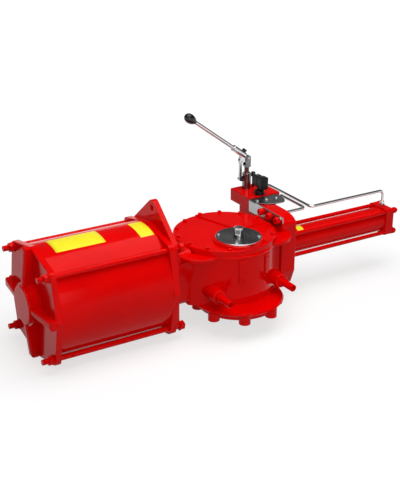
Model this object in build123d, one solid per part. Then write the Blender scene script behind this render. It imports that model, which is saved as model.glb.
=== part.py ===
from build123d import *
import os
from math import atan2, cos, degrees, pi, radians, sin, sqrt, tan

# Quarter-turn valve actuator: a double-acting air cylinder drives a scotch yoke, and a hydraulic
# cylinder with a hand pump overrides it.  Millimetres, +Z up, +X along the cylinders.
# The origin is the centre of the valve mounting face, on the yoke's axis.

# --- the mechanism ---
CRANK = 115.0              # yoke axis to cylinder axis
AXIS_Z = 122.0             # height of the cylinder axis above the valve face
STROKE = 216.5             # piston travel for the quarter turn
HALF_TURN = 45.0           # the yoke arm swings this far each side of +Y
BLOCK_HALF = STROKE / 2    # the guide block travels this far each side of the yoke axis
RUN_GAP = 0.05             # radial clearance of a running fit
SEAT_GAP = 0.2             # radial clearance of a part that is held still
FACE_GAP = 0.3             # axial clearance of a part that turns or slides past another

# --- valve flange ---
FLANGE_PCD = 254.0
FLANGE_BOLTS = 8
FLANGE_HOLE_R = 8.75
FLANGE_HOLE_DEPTH = 24.0
FLANGE_BOSS_R = 18.5
FLANGE_RIM_R = 146.0
FLANGE_UNDER_Z = 30.0      # underside of the flange's rim
FLANGE_RIM_Z = 40.0        # top of the rim
FLANGE_ROOT_Z = 47.0       # where the flange's top meets the tower
SKIRT_Z = 11.0             # lower edge of the skirt that joins the bosses

# --- housing ---
FACET_ANGLE = 41.0         # the two front facets face this far each side of -Y
FACET_X = 90.0             # where the round front meets the facets
FACET_Y = -52.4
COVER_R = 163.0            # the round cover, which sets how wide the gearcase is
COVER_MARGIN = 16.0        # from the cover's rim to the end pad's face
PAD_PROUD = 9.0            # the end pad stands this far out of the side wall
END_FACE_X = COVER_R + COVER_MARGIN  # the gearcase's end pad towards the override
HOUSING_HALF = END_FACE_X - PAD_PROUD  # half width across the side walls
SIDE_BACK_Y = 110.0        # the side walls end here and the round back starts
BACK_Y = 244.0
WALL = 12.0
FLOOR_Z = 35.0             # underside of the gearcase
RIM_Z = 206.0              # top face of the gearcase, under the cover
TOP_FLANGE = 10.0          # thickness of the gearcase's top flange
LOBE_X = 130.0             # the top flange widens to a lobe at each front corner
LOBE_Y = 25.0
LOBE_R = 72.0
NECK_HALF_Y = 103.0        # neck between gearcase and cylinder
NECK_LOW_Z = 37.0
NECK_TOP_Z = 219.0
NECK_CORNER = 30.0
NECK_BORE_R = 62.0
PAD_HALF = 88.0
NECK_BOSS_R = 30.0         # round pad on the neck's front
NECK_BOSS_X = -188.0
NECK_BOSS_Z = 157.0
STRIP_X = 48.0             # two screwed strips stand on the round front
STRIP_WIDTH = 24.0
STRIP_LOW_Z = 119.0
STRIP_TOP_Z = 194.0
STRIP_PROUD = 3.0

# --- cover ---
COVER_FRONT = 81.0         # its rim reaches this far in front of the stem's axis
COVER_Y = COVER_R - COVER_FRONT
COVER_Z = 225.0            # top of the cover
COVER_SKIN = 9.0
COVER_SCREWS = 14
COVER_SCREW_INSET = 11.0
COVER_SCREW_R = 4.0
COVER_SCREW_ACROSS = 13.0
COVER_SCREW_HEAD = 5.5
SPOT_FACE_R = 8.5
TOP_BOSS_R = 79.0          # raised boss under the top plate
TOP_BOSS_Z = 233.0
STEP_HEIGHT = 4.0          # the cover's part behind the top plate stands this much higher
STEP_X = 40.0              # its corner by the top plate
STEP_Y = 68.0
STEP_SLOPE = 0.316         # its left edge runs back at this slope
STEP_END_X = 150.0
STEP_INSET = 4.0           # it stays this far inside the cover's rim
TOP_PLATE_R = 72.0
TOP_PLATE = 5.8
TOP_SCREW_PCD = 126.0

# --- yoke ---
JOURNAL_R = 52.0
BUSH_WALL = 6.0
HUB_R = 56.0
STEM_R = 40.0              # bore for the valve stem
STEM_DEPTH = 140.0
YOKE_LOW_Z = 4.0
YOKE_TOP_Z = 229.0
SHOULDER_Z = 46.0          # hub shoulder above the lower bush
UPPER_SHOULDER_Z = 198.0
PLATE = 16.0               # thickness of each yoke plate
PLATE_SPAN = 26.0          # cylinder axis to the inner face of each yoke plate
PLATE_HUB_R = 74.0
ROLLER_R = 19.0
SLOT_PLAY = 7.0            # the open pivot: the roller's room across the slot
ARM_SIDE = 17.0            # width of the arm on each side of the slot
ARM_END = 165.0            # reach of the arms from the yoke axis
STUB_R = 15.0
STUB_TOP_Z = 268.0
STUB_FLAT = 11.0           # half width across the stub's flats

# --- guide block and bars ---
BLOCK_X = 30.0             # half length of the guide block
BLOCK_BACK = 30.0          # block behind the cylinder axis
BLOCK_PLAY = 2.0           # between the block and each yoke plate
BAR_Y = 81.0               # guide bar
BAR_R = 10.0
BAR_COVER = 9.0            # metal in front of the guide bar
PIN_R = 14.0
ROD_R = 20.0
SPIGOT_R = 11.0            # threaded end of a rod in the guide block
SPIGOT = 10.0

# --- travel stops ---
STOP_X = 114.5
STOP_Z = 88.0
STOP_BOSS_R = 23.0
STOP_BOSS_Y = -78.0        # front face of the stop bosses
STOP_SCREW_R = 8.0
STOP_TIP_Y = 2.0           # inner end of the stop screws
STOP_CONTACT = 0.6         # left between a stop screw and the yoke at each limit
SLEEVE_R = 11.5
SLEEVE_END_Y = -140.0
EAR_INNER = 96.0           # the yoke's stop ears reach from here
EAR_OUTER = 130.0          # to here

# --- air cylinder ---
BORE_R = 165.0
TUBE_WALL = 7.5
CAP_X = -622.0             # inner faces of the two end plates, where the tube ends
HEAD_X = -262.0
CAP_PLATE = 18.0
HEAD_PLATE = 21.0
LUG_PLATE = 17.0
TIE_HALF = 129.6           # tie rods at the corners of a square
TIE_R = 9.0
TIE_LOBE_R = 18.0
CROWN = 176.0              # reach of the end plates at the middle of each side
RIB_HALF = 14.0            # half width of a rib at the plate's edge
RIB_NECK = 9.0             # and at the hub
RIB_ROUND = 7.0
RIB_EDGE = 20.0            # height of a rib at the plate's edge
RIB_ROOT = 35.0            # and at the hub
CAP_HUB_R = 66.0
CAP_HUB_STEP = 7.0
REGISTER = 16.0            # length of each plate's register in the tube
SEAL = 4.0                 # section of the seals
PISTON = 34.0
PISTON_GAP = 0.3
REST_GAP = 14.0            # piston to cap register at rest
STUD_END_X = -674.5
STUD_INNER_X = -204.0
NUT = 13.0
NUT_ACROSS = 27.0
WASHER = 3.0
WASHER_R = 16.0
PORT_R = 6.6
PORT_DEPTH = 30.0
PORT_BOSS_R = 11.0
PORT_ROOT = 3.0            # the bosses reach this far into the plates
PORT_PROUD = 16.0          # the port bosses' reach from the cylinder plates
LUG_TOP_Z = 366.0
LUG_EYE_Z = 340.0
LUG_EYE_R = 10.0
LUG_TIP_R = 22.0
LUG_BASE_HALF = 136.0

# --- hydraulic override ---
ADAPTER = 56.0
ARCH_HALF = 95.0
ARCH_TOP_Z = 252.0
ARCH_SHOULDER_Z = 225.0
ARCH_FLAT = 29.0           # half width of the arch's flat top
ARCH_FOOT_Z = 60.0
ARCH_FOOT_HALF = 77.0
ARCH_LOW_Z = 13.0
OVER_BORE_R = 37.5
OVER_WALL = 5.5
OVER_HEAD = 27.0
OVER_END_X = 657.0
OVER_END = 33.0
OVER_HALF = 47.0
OVER_TIE_HALF = 39.0
OVER_TIE_R = 7.0
OVER_TIE_END_X = 708.0
OVER_NUT = 10.0
OVER_NUT_ACROSS = 21.0
OVER_ROD_R = 12.0
OVER_PISTON = 30.0
OVER_REST_GAP = 9.0
OVER_REGISTER = 8.0

# --- manifold, bracket, pump and tubes ---
MANIFOLD_LAP = 2.0         # the manifold's end stands this far in front of the adapter
MANIFOLD_X = END_FACE_X - MANIFOLD_LAP
MANIFOLD_LENGTH = 124.0
MANIFOLD_Y = 211.0
MANIFOLD_DEPTH = 116.0
MANIFOLD_LOW_Z = 217.0
MANIFOLD_TOP_Z = 260.0
COLUMN_DEPTH = 62.0
COLUMN_LOW_Z = 70.0
SHEET = 3.0                # bracket's sheet
LEG_LOW_Z = 216.0
LEG_TOP_Z = 257.0
LEG_FRONT_Y = 29.0
SHELF = 121.0              # length of the bracket's shelf over the arch
SHELF_NOSE = 67.0          # from the adapter's face to the shelf's foremost corner
SHELF_HEEL = 19.0          # and to the corner beside the leg
SHELF_END_X = END_FACE_X + SHELF
SHELF_FRONT_Y = 132.0
SHELF_NOSE_X = END_FACE_X + SHELF_NOSE
SHELF_HEEL_X = END_FACE_X + SHELF_HEEL
PLUG_R = 11.0
PLUG = 20.0
PUMP_IN = 47.0             # from the manifold's end to the pump's axis
PUMP_X = MANIFOLD_X + PUMP_IN
PUMP_Y = 300.0
BARREL_R = 15.0
BARREL_TOP_Z = 313.0
GROOVE_Z = 286.0
LUG = 4.0                  # thickness of the barrel's lugs
GLAND_R = 12.5
GLAND = 4.0
PLUNGER_R = 8.5
PIVOT_Z = 371.0            # lever's pin in the plunger's fork
LEVER_PIN_R = 4.0
FULCRUM = 26.0             # the link's top pin lies this far from the lever's pin, towards -X
FULCRUM_DROP = 10.0        # and this far below it
LINK_FOOT_Z = 297.0
LINK_HALF = 3.5            # half the link's thickness
LINK_WIDTH = 9.0
LINK_EYE_R = 7.5
LINK_FOOT_R = 6.0
LINK_PIN_R = 3.0
LINK_PLAY = 1.6            # the open pivot: the link eye's room on its pin
HEAD_HALF = 7.5            # half width of the lever's head
FORK = 4.0                 # thickness of the plunger's fork cheeks
FORK_R = 9.0
FORK_DEPTH = 27.0          # from the pin to the floor between the cheeks
LEVER_RISE = 36.8          # lever's angle above level
LEVER_END = 300.0
LEVER_R = 7.0
WEB_R = 8.0                # rounded corners of the lever head's web
SOCKET_R = 11.0
SOCKET_START = 12.0
SOCKET_END = 70.0
BAR_START = 17.0
CLAMP_AT = 24.0            # clamp screw's place along the lever
CLAMP_R = 3.0
CLAMP_HEAD_R = 8.0
CLAMP_HEAD = 8.0
GRIP_R = 16.5
GRIP = 46.0
GRIP_SKIN = 12.0           # grip beyond the bar's end
COIL_IN = 54.0             # from the manifold's end to the coil's axis
COIL_X = MANIFOLD_X + COIL_IN
COIL_Y = 228.0
COIL_HALF_X = 13.5
COIL_HALF_Y = 30.0
COIL_LOW_Z = 285.0
COIL_TOP_Z = 324.0
COLLAR_R = 14.0
COLLAR_TOP_Z = 276.0
KNOB_IN = 74.0             # from the manifold's end to the knob's axis
KNOB_X = MANIFOLD_X + KNOB_IN
KNOB_Y = 300.0
KNOB_R = 9.0
KNOB_LOW_Z = 298.0
KNOB_TOP_Z = 314.0
TUBE_R = 5.0
TUBE_BORE_R = 3.5
RUN_Z = 226.0              # both tubes run at this height
FAR_RUN = 182.0            # from the adapter's face to the far tube's run across
NEAR_RUN = 159.0
FAR_RUN_X = END_FACE_X + FAR_RUN
NEAR_RUN_X = END_FACE_X + NEAR_RUN
FAR_BACK_Y = 367.0
FITTING_R = 9.0
FITTING = 20.0
TUBE_BEND = 16.0


# ---------------------------------------------------------------- helpers
def across(axis, start, a, b):
    """Plane across X, Y or Z at start; a and b are its origin's next two coordinates in turn."""
    if axis == "X":
        return Plane(origin=(start, a, b), x_dir=(0, 1, 0), z_dir=(1, 0, 0))
    if axis == "Y":
        return Plane(origin=(b, start, a), x_dir=(0, 0, 1), z_dir=(0, 1, 0))
    return Plane(origin=(a, b, start), x_dir=(1, 0, 0), z_dir=(0, 0, 1))


def rod(axis, radius, start, end, a=0.0, b=0.0):
    """Round bar along an axis from start to end."""
    return extrude(across(axis, start, a, b) * Circle(radius), end - start)


def tube(axis, outer, inner, start, end, a=0.0, b=0.0):
    """Round tube along an axis."""
    return extrude(across(axis, start, a, b) * (Circle(outer) - Circle(inner)), end - start)


def hexagon(axis, flats, start, end, a=0.0, b=0.0):
    """Hexagonal bar along an axis."""
    section = RegularPolygon(flats / 2, 6, major_radius=False)
    return extrude(across(axis, start, a, b) * section, end - start)


def box(x0, x1, y0, y1, z0, z1):
    """Box between two corners."""
    return Pos((x0 + x1) / 2, (y0 + y1) / 2, (z0 + z1) / 2) * Box(x1 - x0, y1 - y0, z1 - z0)


def group(*pieces):
    """Separate solids kept together in one node."""
    return Compound([solid for piece in pieces for solid in piece.solids()])


def save(name, shape):
    """Write one node."""
    export_step(shape, "parts/" + name + ".step")


def corners(half):
    """The four corners of a square about the cylinder axis, as (y, z)."""
    return [(CRANK + i * half, AXIS_Z + j * half) for i in (-1, 1) for j in (-1, 1)]


def flange_bolt_places():
    """Bolt places of the valve flange, straddling the axes."""
    step = 360 / FLANGE_BOLTS
    turns = [radians(step * (k + 0.5)) for k in range(FLANGE_BOLTS)]
    return [(FLANGE_PCD / 2 * cos(t), FLANGE_PCD / 2 * sin(t)) for t in turns]


# ---------------------------------------------------------------- housing
def case_plan(inset=0.0):
    """Plan of the gearcase: round front, two facets, straight sides, round back."""
    tilt = radians(FACET_ANGLE)
    front_r = FACET_X / sin(tilt)
    front_y = FACET_Y + front_r * cos(tilt) - front_r
    side_y = FACET_Y + (HOUSING_HALF - FACET_X) * tan(tilt)
    front = ThreePointArc((-FACET_X, FACET_Y), (0, front_y), (FACET_X, FACET_Y))
    right = Polyline((FACET_X, FACET_Y), (HOUSING_HALF, side_y), (HOUSING_HALF, SIDE_BACK_Y))
    back = ThreePointArc((HOUSING_HALF, SIDE_BACK_Y), (0, BACK_Y), (-HOUSING_HALF, SIDE_BACK_Y))
    left = Polyline((-HOUSING_HALF, SIDE_BACK_Y), (-HOUSING_HALF, side_y), (-FACET_X, FACET_Y))
    plan = make_face([front, right, back, left])
    return offset(plan, -inset) if inset else plan


def wall_y(x):
    """Y of the gearcase's facets at x."""
    return FACET_Y + (abs(x) - FACET_X) * tan(radians(FACET_ANGLE))


def base_flange():
    """Valve flange: a rim with a sloping top, a skirt and eight bosses."""
    profile = Polyline((0, SKIRT_Z), (FLANGE_PCD / 2, SKIRT_Z), (FLANGE_PCD / 2, FLANGE_UNDER_Z),
                       (FLANGE_RIM_R - 3, FLANGE_UNDER_Z), (FLANGE_RIM_R, FLANGE_UNDER_Z + 4),
                       (FLANGE_RIM_R - 4, FLANGE_RIM_Z), (FACET_X, FLANGE_ROOT_Z),
                       (0, FLANGE_ROOT_Z), close=True)
    solid = revolve(Plane.XZ * make_face(profile), Axis.Z)
    for x, y in flange_bolt_places():
        solid += rod("Z", FLANGE_BOSS_R, 0, FLANGE_UNDER_Z + 2, x, y)
    return solid


def neck():
    """Rounded block towards the air cylinder, with its round side pad."""
    section = RectangleRounded(2 * NECK_HALF_Y, NECK_TOP_Z - NECK_LOW_Z, NECK_CORNER)
    start = HEAD_X + HEAD_PLATE + LUG_PLATE
    middle = (NECK_LOW_Z + NECK_TOP_Z) / 2
    solid = extrude(across("X", start, CRANK, middle) * section, -HOUSING_HALF + WALL - start)
    front = CRANK - NECK_HALF_Y
    return solid + rod("Y", NECK_BOSS_R, front - 6, front + WALL, NECK_BOSS_Z, NECK_BOSS_X)


def end_pad():
    """Flat pad towards the override cylinder."""
    section = RectangleRounded(2 * PAD_HALF, 2 * PAD_HALF, NECK_CORNER)
    start = HOUSING_HALF - WALL
    return extrude(across("X", start, CRANK, AXIS_Z) * section, END_FACE_X - start)


def top_flange():
    """Flange under the cover, with a lobe at each front corner."""
    plan = Pos(0, COVER_Y) * Circle(COVER_R) + case_plan(-2.0)
    for side in (-1, 1):
        plan += Pos(side * LOBE_X, LOBE_Y) * Circle(LOBE_R)
    low = across("Z", RIM_Z - TOP_FLANGE, 0, 0)
    flange = extrude(low * plan, TOP_FLANGE)
    rim = flange.faces().sort_by(Axis.Z)[-1].outer_wire().edges()
    return fillet(rim, 2.5)


def stop_bosses():
    """Round bosses that carry the travel stops, blended back into the facets."""
    bosses = []
    for side in (-1, 1):
        x = side * STOP_X
        boss = rod("Y", STOP_BOSS_R, STOP_BOSS_Y, wall_y(x) + 30, STOP_Z, x)
        rim = boss.edges().filter_by(GeomType.CIRCLE).sort_by(Axis.Y)[0]
        bosses.append(fillet(rim, 4))
    return bosses


def cover_strips():
    """The two upright strips on the round front, with one screw head near each end."""
    strips = []
    low = across("Z", STRIP_LOW_Z, 0, 0)
    shell = extrude(low * (case_plan(-STRIP_PROUD) - case_plan()), STRIP_TOP_Z - STRIP_LOW_Z)
    for start in (-STRIP_X, STRIP_X - 1):
        slot = box(start, start + STRIP_WIDTH, -150, 0, STRIP_LOW_Z, STRIP_TOP_Z)
        strips.append(shell & slot)
    return strips


def yoke_housing():
    """Gearcase casting, open at the top."""
    low = across("Z", FLOOR_Z, 0, 0)
    solid = extrude(low * case_plan(), RIM_Z - FLOOR_Z) + base_flange() + neck() + end_pad()
    solid += top_flange()
    for piece in stop_bosses() + cover_strips():
        solid += piece
    solid -= extrude(across("Z", FLOOR_Z + WALL, 0, 0) * case_plan(WALL), RIM_Z)
    solid += rod("Z", JOURNAL_R + BUSH_WALL + 14, SKIRT_Z, SHOULDER_Z - 4)
    solid -= rod("Z", JOURNAL_R + BUSH_WALL, -1, SHOULDER_Z)
    solid -= rod("Z", HUB_R + FACE_GAP, SHOULDER_Z - 4, RIM_Z)
    solid -= rod("Z", COVER_R + SEAT_GAP, RIM_Z, NECK_TOP_Z + 1, 0, COVER_Y)
    solid -= box(END_FACE_X, LOBE_X + LOBE_R, CRANK - ARCH_HALF - SEAT_GAP, BACK_Y, 0, RIM_Z + 1)
    solid -= rod("X", NECK_BORE_R, -400, -HOUSING_HALF + 3 * WALL, CRANK, AXIS_Z)
    solid -= rod("X", OVER_ROD_R + 16, 0, END_FACE_X + 1, CRANK, AXIS_Z)
    solid -= rod("X", BAR_R + SEAT_GAP, -HOUSING_HALF - 1, HOUSING_HALF, BAR_Y, AXIS_Z)
    for x, y in flange_bolt_places():
        solid -= rod("Z", FLANGE_HOLE_R, -1, FLANGE_HOLE_DEPTH, x, y)
    for side in (-1, 1):
        x = side * STOP_X
        solid -= rod("Y", STOP_SCREW_R + SEAT_GAP, STOP_BOSS_Y - 1, 40, STOP_Z, x)
    return solid


def cover_places():
    """Screw places round the cover's rim, as (x, y)."""
    r = COVER_R - COVER_SCREW_INSET
    turns = [2 * pi * (k + 0.5) / COVER_SCREWS for k in range(COVER_SCREWS)]
    return [(r * cos(t), COVER_Y + r * sin(t)) for t in turns]


def step_x(y):
    """X of the step's long edge, which runs back and to the left from the top plate."""
    return STEP_X - (y - STEP_Y) * STEP_SLOPE


def step_plan():
    """The higher half of the cover: behind the top plate and right of a slanting line."""
    far = COVER_Y + COVER_R
    half = Polyline((step_x(STEP_Y), STEP_Y), (step_x(far), far), (STEP_END_X, far),
                    (STEP_END_X, STEP_Y), close=True)
    return make_face(half) & Pos(0, COVER_Y) * Circle(COVER_R - STEP_INSET)


def housing_cover():
    """Round cover: a shallow pan with the bearing boss and the higher half."""
    solid = rod("Z", COVER_R, RIM_Z, COVER_Z, 0, COVER_Y)
    solid = fillet(solid.edges().sort_by(Axis.Z)[-1], 3)
    solid += extrude(across("Z", COVER_Z - 1, 0, 0) * step_plan(), STEP_HEIGHT + 1)
    solid += rod("Z", TOP_BOSS_R, COVER_Z - 1, TOP_BOSS_Z)
    hollow = Pos(0, COVER_Y) * Circle(COVER_R - 2 * COVER_SCREW_INSET)
    hollow -= Circle(JOURNAL_R + BUSH_WALL + 14)
    solid -= extrude(across("Z", RIM_Z - 1, 0, 0) * hollow, COVER_Z - COVER_SKIN - RIM_Z + 1)
    solid -= rod("Z", JOURNAL_R + BUSH_WALL, RIM_Z - 1, TOP_BOSS_Z + 1)
    for x, y in cover_places():
        solid -= rod("Z", COVER_SCREW_R + SEAT_GAP, RIM_Z - 1, TOP_BOSS_Z, x, y)
        solid -= rod("Z", SPOT_FACE_R, cover_top(x, y), TOP_BOSS_Z, x, y)
    for x, y in top_screw_places():
        solid -= rod("Z", 4 + SEAT_GAP, TOP_BOSS_Z - 8, TOP_BOSS_Z + 1, x, y)
    return solid


def cover_top(x, y):
    """Height of the cover's top at a screw."""
    higher = step_x(y) < x < STEP_END_X and y > STEP_Y
    return COVER_Z + (STEP_HEIGHT if higher else 0)


def cover_screws():
    """Hexagon-head screws round the cover."""
    screws = []
    for x, y in cover_places():
        top = cover_top(x, y)
        head = hexagon("Z", COVER_SCREW_ACROSS, top, top + COVER_SCREW_HEAD, x, y)
        screws.append(head + rod("Z", COVER_SCREW_R, RIM_Z, top, x, y))
    return group(*screws)


def top_screw_places():
    """Screw places of the top plate."""
    turns = [radians(90 * k + 52) for k in range(4)]
    return [(TOP_SCREW_PCD / 2 * cos(t), TOP_SCREW_PCD / 2 * sin(t)) for t in turns]


def top_plate():
    """Stainless plate that holds the upper bush down."""
    solid = tube("Z", TOP_PLATE_R, STUB_R + 2, TOP_BOSS_Z, TOP_BOSS_Z + TOP_PLATE)
    for x, y in top_screw_places():
        solid -= rod("Z", 4 + SEAT_GAP, TOP_BOSS_Z - 1, TOP_BOSS_Z + TOP_PLATE + 1, x, y)
    return solid


def top_plate_screws():
    """Button screws of the top plate."""
    top = TOP_BOSS_Z + TOP_PLATE
    screws = []
    for x, y in top_screw_places():
        head = rod("Z", 6.5, top, top + 4, x, y)
        head = fillet(head.edges().sort_by(Axis.Z)[-1], 2)
        screws.append(head + rod("Z", 4, TOP_BOSS_Z - 6, top, x, y))
    return group(*screws)


def yoke_bushes():
    """Bronze bushes of the yoke's two journals."""
    inner = JOURNAL_R + RUN_GAP
    outer = JOURNAL_R + BUSH_WALL
    save("lower_yoke_bush", tube("Z", outer, inner, SKIRT_Z, SHOULDER_Z - FACE_GAP))
    save("upper_yoke_bush", tube("Z", outer, inner, UPPER_SHOULDER_Z + FACE_GAP, TOP_BOSS_Z))


# ---------------------------------------------------------------- yoke
def arm_plan():
    """Plan of one yoke plate, arm along +Y: hub, forked arm and the two stop ears."""
    half = ROLLER_R + SLOT_PLAY + ARM_SIDE
    plan = Circle(PLATE_HUB_R) + Pos(0, ARM_END / 2) * Rectangle(2 * half, ARM_END)
    plan = fillet(plan.vertices().group_by(Axis.Y)[-1], 14)
    slot = Pos(0, CRANK) * Circle(ROLLER_R + SLOT_PLAY)
    slot += Pos(0, CRANK + 100) * Rectangle(2 * (ROLLER_R + SLOT_PLAY), 200)
    return plan - slot


def ear_plan(side):
    """One stop ear: its flat front edge meets the stop screw when the yoke is at that side."""
    contact = STOP_TIP_Y + STOP_CONTACT
    ear = Polyline((side * 38, -36), (side * EAR_INNER, contact), (side * EAR_OUTER, contact),
                   (side * EAR_OUTER, contact + 22), (side * 50, 62), close=True)
    return Rot(0, 0, side * HALF_TURN) * make_face(ear)


def scotch_yoke():
    """Yoke casting with its arm along +Y, then turned to the rest end of its travel."""
    low_z = AXIS_Z - PLATE_SPAN - PLATE
    solid = rod("Z", JOURNAL_R, YOKE_LOW_Z, YOKE_TOP_Z)
    solid += rod("Z", HUB_R, SHOULDER_Z, UPPER_SHOULDER_Z)
    lower = arm_plan() + ear_plan(-1) + ear_plan(1)
    solid += extrude(across("Z", low_z, 0, 0) * lower, PLATE)
    solid += extrude(across("Z", AXIS_Z + PLATE_SPAN, 0, 0) * arm_plan(), PLATE)
    solid -= rod("Z", STEM_R, YOKE_LOW_Z - 1, YOKE_LOW_Z + STEM_DEPTH)
    return Rot(0, 0, HALF_TURN) * solid


def indicator_stub():
    """Round stub on top of the yoke, with two flats and a slot across its end."""
    solid = rod("Z", STUB_R, YOKE_TOP_Z, STUB_TOP_Z)
    flat_z = TOP_BOSS_Z + TOP_PLATE + 8
    for side in (-1, 1):
        inner, outer = sorted((side * STUB_FLAT, side * (STUB_R + 1)))
        solid -= box(-STUB_R - 1, STUB_R + 1, inner, outer, flat_z, STUB_TOP_Z + 1)
    solid -= box(-STUB_R - 1, STUB_R + 1, -1.5, 1.5, STUB_TOP_Z - 3, STUB_TOP_Z + 1)
    return Rot(0, 0, HALF_TURN) * solid


# ---------------------------------------------------------------- sliding parts
REST_X = -BLOCK_HALF       # the guide block's centre at rest
PISTON_FRONT_X = CAP_X + REGISTER + REST_GAP
OVER_PISTON_X = END_FACE_X + ADAPTER + OVER_HEAD + OVER_REGISTER + OVER_REST_GAP


def guide_block():
    """Block that carries the drive pin and slides on the guide bar."""
    half_z = PLATE_SPAN - BLOCK_PLAY
    front = BAR_Y - BAR_R - BAR_COVER
    solid = box(REST_X - BLOCK_X, REST_X + BLOCK_X, front, CRANK + BLOCK_BACK,
                AXIS_Z - half_z, AXIS_Z + half_z)
    solid = fillet(solid.edges().filter_by(Axis.Z), 6)
    solid -= rod("X", BAR_R + RUN_GAP, REST_X - 99, REST_X + 99, BAR_Y, AXIS_Z)
    solid -= rod("Z", PIN_R, AXIS_Z - 99, AXIS_Z + 99, REST_X, CRANK)
    depth = SPIGOT + FACE_GAP
    for start in (REST_X - BLOCK_X - 1, REST_X + BLOCK_X - depth):
        solid -= rod("X", SPIGOT_R, start, start + depth + 1, CRANK, AXIS_Z)
    return solid


def drive_pin():
    """Pin through the block, with a groove-free plain shank."""
    reach = PLATE_SPAN + PLATE + 3
    return rod("Z", PIN_R, AXIS_Z - reach, AXIS_Z + reach, REST_X, CRANK)


def rollers():
    """The two rollers on the drive pin, one in each yoke plate."""
    rings = []
    for low in (AXIS_Z - PLATE_SPAN - PLATE, AXIS_Z + PLATE_SPAN):
        rings.append(tube("Z", ROLLER_R, PIN_R + RUN_GAP, low, low + PLATE, REST_X, CRANK))
    return group(*rings)


def piston_rod():
    """Rod from the guide block to the piston, with a stepped end."""
    end = PISTON_FRONT_X
    solid = rod("X", ROD_R, end + PISTON, REST_X - BLOCK_X, CRANK, AXIS_Z)
    solid += rod("X", SPIGOT_R, REST_X - BLOCK_X, REST_X - BLOCK_X + SPIGOT, CRANK, AXIS_Z)
    return solid + rod("X", ROD_R - 6, end - NUT + 1, end + PISTON, CRANK, AXIS_Z)


def piston():
    """Piston with a seal groove and a hollowed back."""
    start = PISTON_FRONT_X
    solid = rod("X", BORE_R - PISTON_GAP, start, start + PISTON, CRANK, AXIS_Z)
    middle = start + PISTON / 2
    solid -= tube("X", BORE_R + 1, BORE_R - 3 * SEAL, middle - SEAL, middle + SEAL, CRANK, AXIS_Z)
    solid -= tube("X", BORE_R - 30, ROD_R + 14, start + 18, start + PISTON + 1, CRANK, AXIS_Z)
    return solid - rod("X", ROD_R - 6, start - 1, start + PISTON + 1, CRANK, AXIS_Z)


def piston_seal():
    """Seal ring in the piston's groove."""
    middle = PISTON_FRONT_X + PISTON / 2
    inner = BORE_R - 3 * SEAL
    return tube("X", BORE_R - RUN_GAP, inner, middle - SEAL, middle + SEAL, CRANK, AXIS_Z)


def piston_nut():
    """Nut that clamps the piston on its rod."""
    nut = hexagon("X", 46, PISTON_FRONT_X - NUT, PISTON_FRONT_X, CRANK, AXIS_Z)
    return nut - rod("X", ROD_R - 6, PISTON_FRONT_X - 99, PISTON_FRONT_X, CRANK, AXIS_Z)


def override_rod():
    """Rod from the guide block to the override piston."""
    start = REST_X + BLOCK_X
    end = OVER_PISTON_X
    solid = rod("X", OVER_ROD_R, start, end, CRANK, AXIS_Z)
    solid += rod("X", SPIGOT_R, start - SPIGOT, start, CRANK, AXIS_Z)
    return solid + rod("X", OVER_ROD_R - 3, end, end + OVER_PISTON, CRANK, AXIS_Z)


def override_piston():
    """Override piston with its seal groove."""
    x = OVER_PISTON_X
    solid = tube("X", OVER_BORE_R - PISTON_GAP, OVER_ROD_R - 3, x, x + OVER_PISTON, CRANK, AXIS_Z)
    middle = x + OVER_PISTON / 2
    groove = tube("X", OVER_BORE_R + 1, OVER_BORE_R - 6, middle - SEAL, middle + SEAL, CRANK, AXIS_Z)
    return solid - groove


def override_piston_seal():
    """Seal ring of the override piston."""
    middle = OVER_PISTON_X + OVER_PISTON / 2
    outer = OVER_BORE_R - RUN_GAP
    return tube("X", outer, OVER_BORE_R - 6, middle - SEAL, middle + SEAL, CRANK, AXIS_Z)


# ---------------------------------------------------------------- air cylinder
def crowned_plan():
    """End plate's outline about the cylinder axis: rod lobes, and a crown on each side."""
    circles = []
    for i in (-1, 1):
        for j in (-1, 1):
            circles += (Pos(i * TIE_HALF, j * TIE_HALF) * Circle(TIE_LOBE_R)).edges()
        circles += (Pos(i * (CROWN - RIB_HALF), 0) * Circle(RIB_HALF)).edges()
        circles += (Pos(0, i * (CROWN - RIB_HALF)) * Circle(RIB_HALF)).edges()
    return make_hull(circles)


def tie_holes(radius, start, end, half=TIE_HALF):
    """Holes for the tie rods."""
    return [rod("X", radius + SEAT_GAP, start, end, y, z) for y, z in corners(half)]


def register(start, end):
    """Round register of an end plate in the tube, with its seal groove."""
    solid = rod("X", BORE_R - SEAT_GAP, start, end, CRANK, AXIS_Z)
    middle = (start + end) / 2
    groove = tube("X", BORE_R + 1, BORE_R - SEAL, middle - SEAL / 2, middle + SEAL / 2, CRANK, AXIS_Z)
    return solid - groove


def rib():
    """One rib of the outer cap, pointing up: deep and narrow at the hub, shallow and wide outside."""
    top = CAP_X - CAP_PLATE
    crest = top - RIB_ROOT
    root = AXIS_Z + CAP_HUB_R / 2
    edge = AXIS_Z + CROWN - 1
    plan = Polyline((CRANK - RIB_NECK, root), (CRANK - RIB_HALF, edge), (CRANK + RIB_HALF, edge),
                    (CRANK + RIB_NECK, root), close=True)
    solid = extrude(across("X", crest, 0, 0) * make_face(plan), RIB_ROOT + 1)
    slope = Polyline((crest, root), (top - RIB_EDGE, edge), (top - RIB_EDGE, edge + 1),
                     (crest - 1, edge + 1), (crest - 1, root), close=True)
    plane = Plane(origin=(0, CRANK + 2 * RIB_HALF, 0), x_dir=(1, 0, 0), z_dir=(0, -1, 0))
    solid -= extrude(plane * make_face(slope), 4 * RIB_HALF)
    return fillet(solid.faces().sort_by(Axis.X)[0].edges(), RIB_ROUND)


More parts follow.
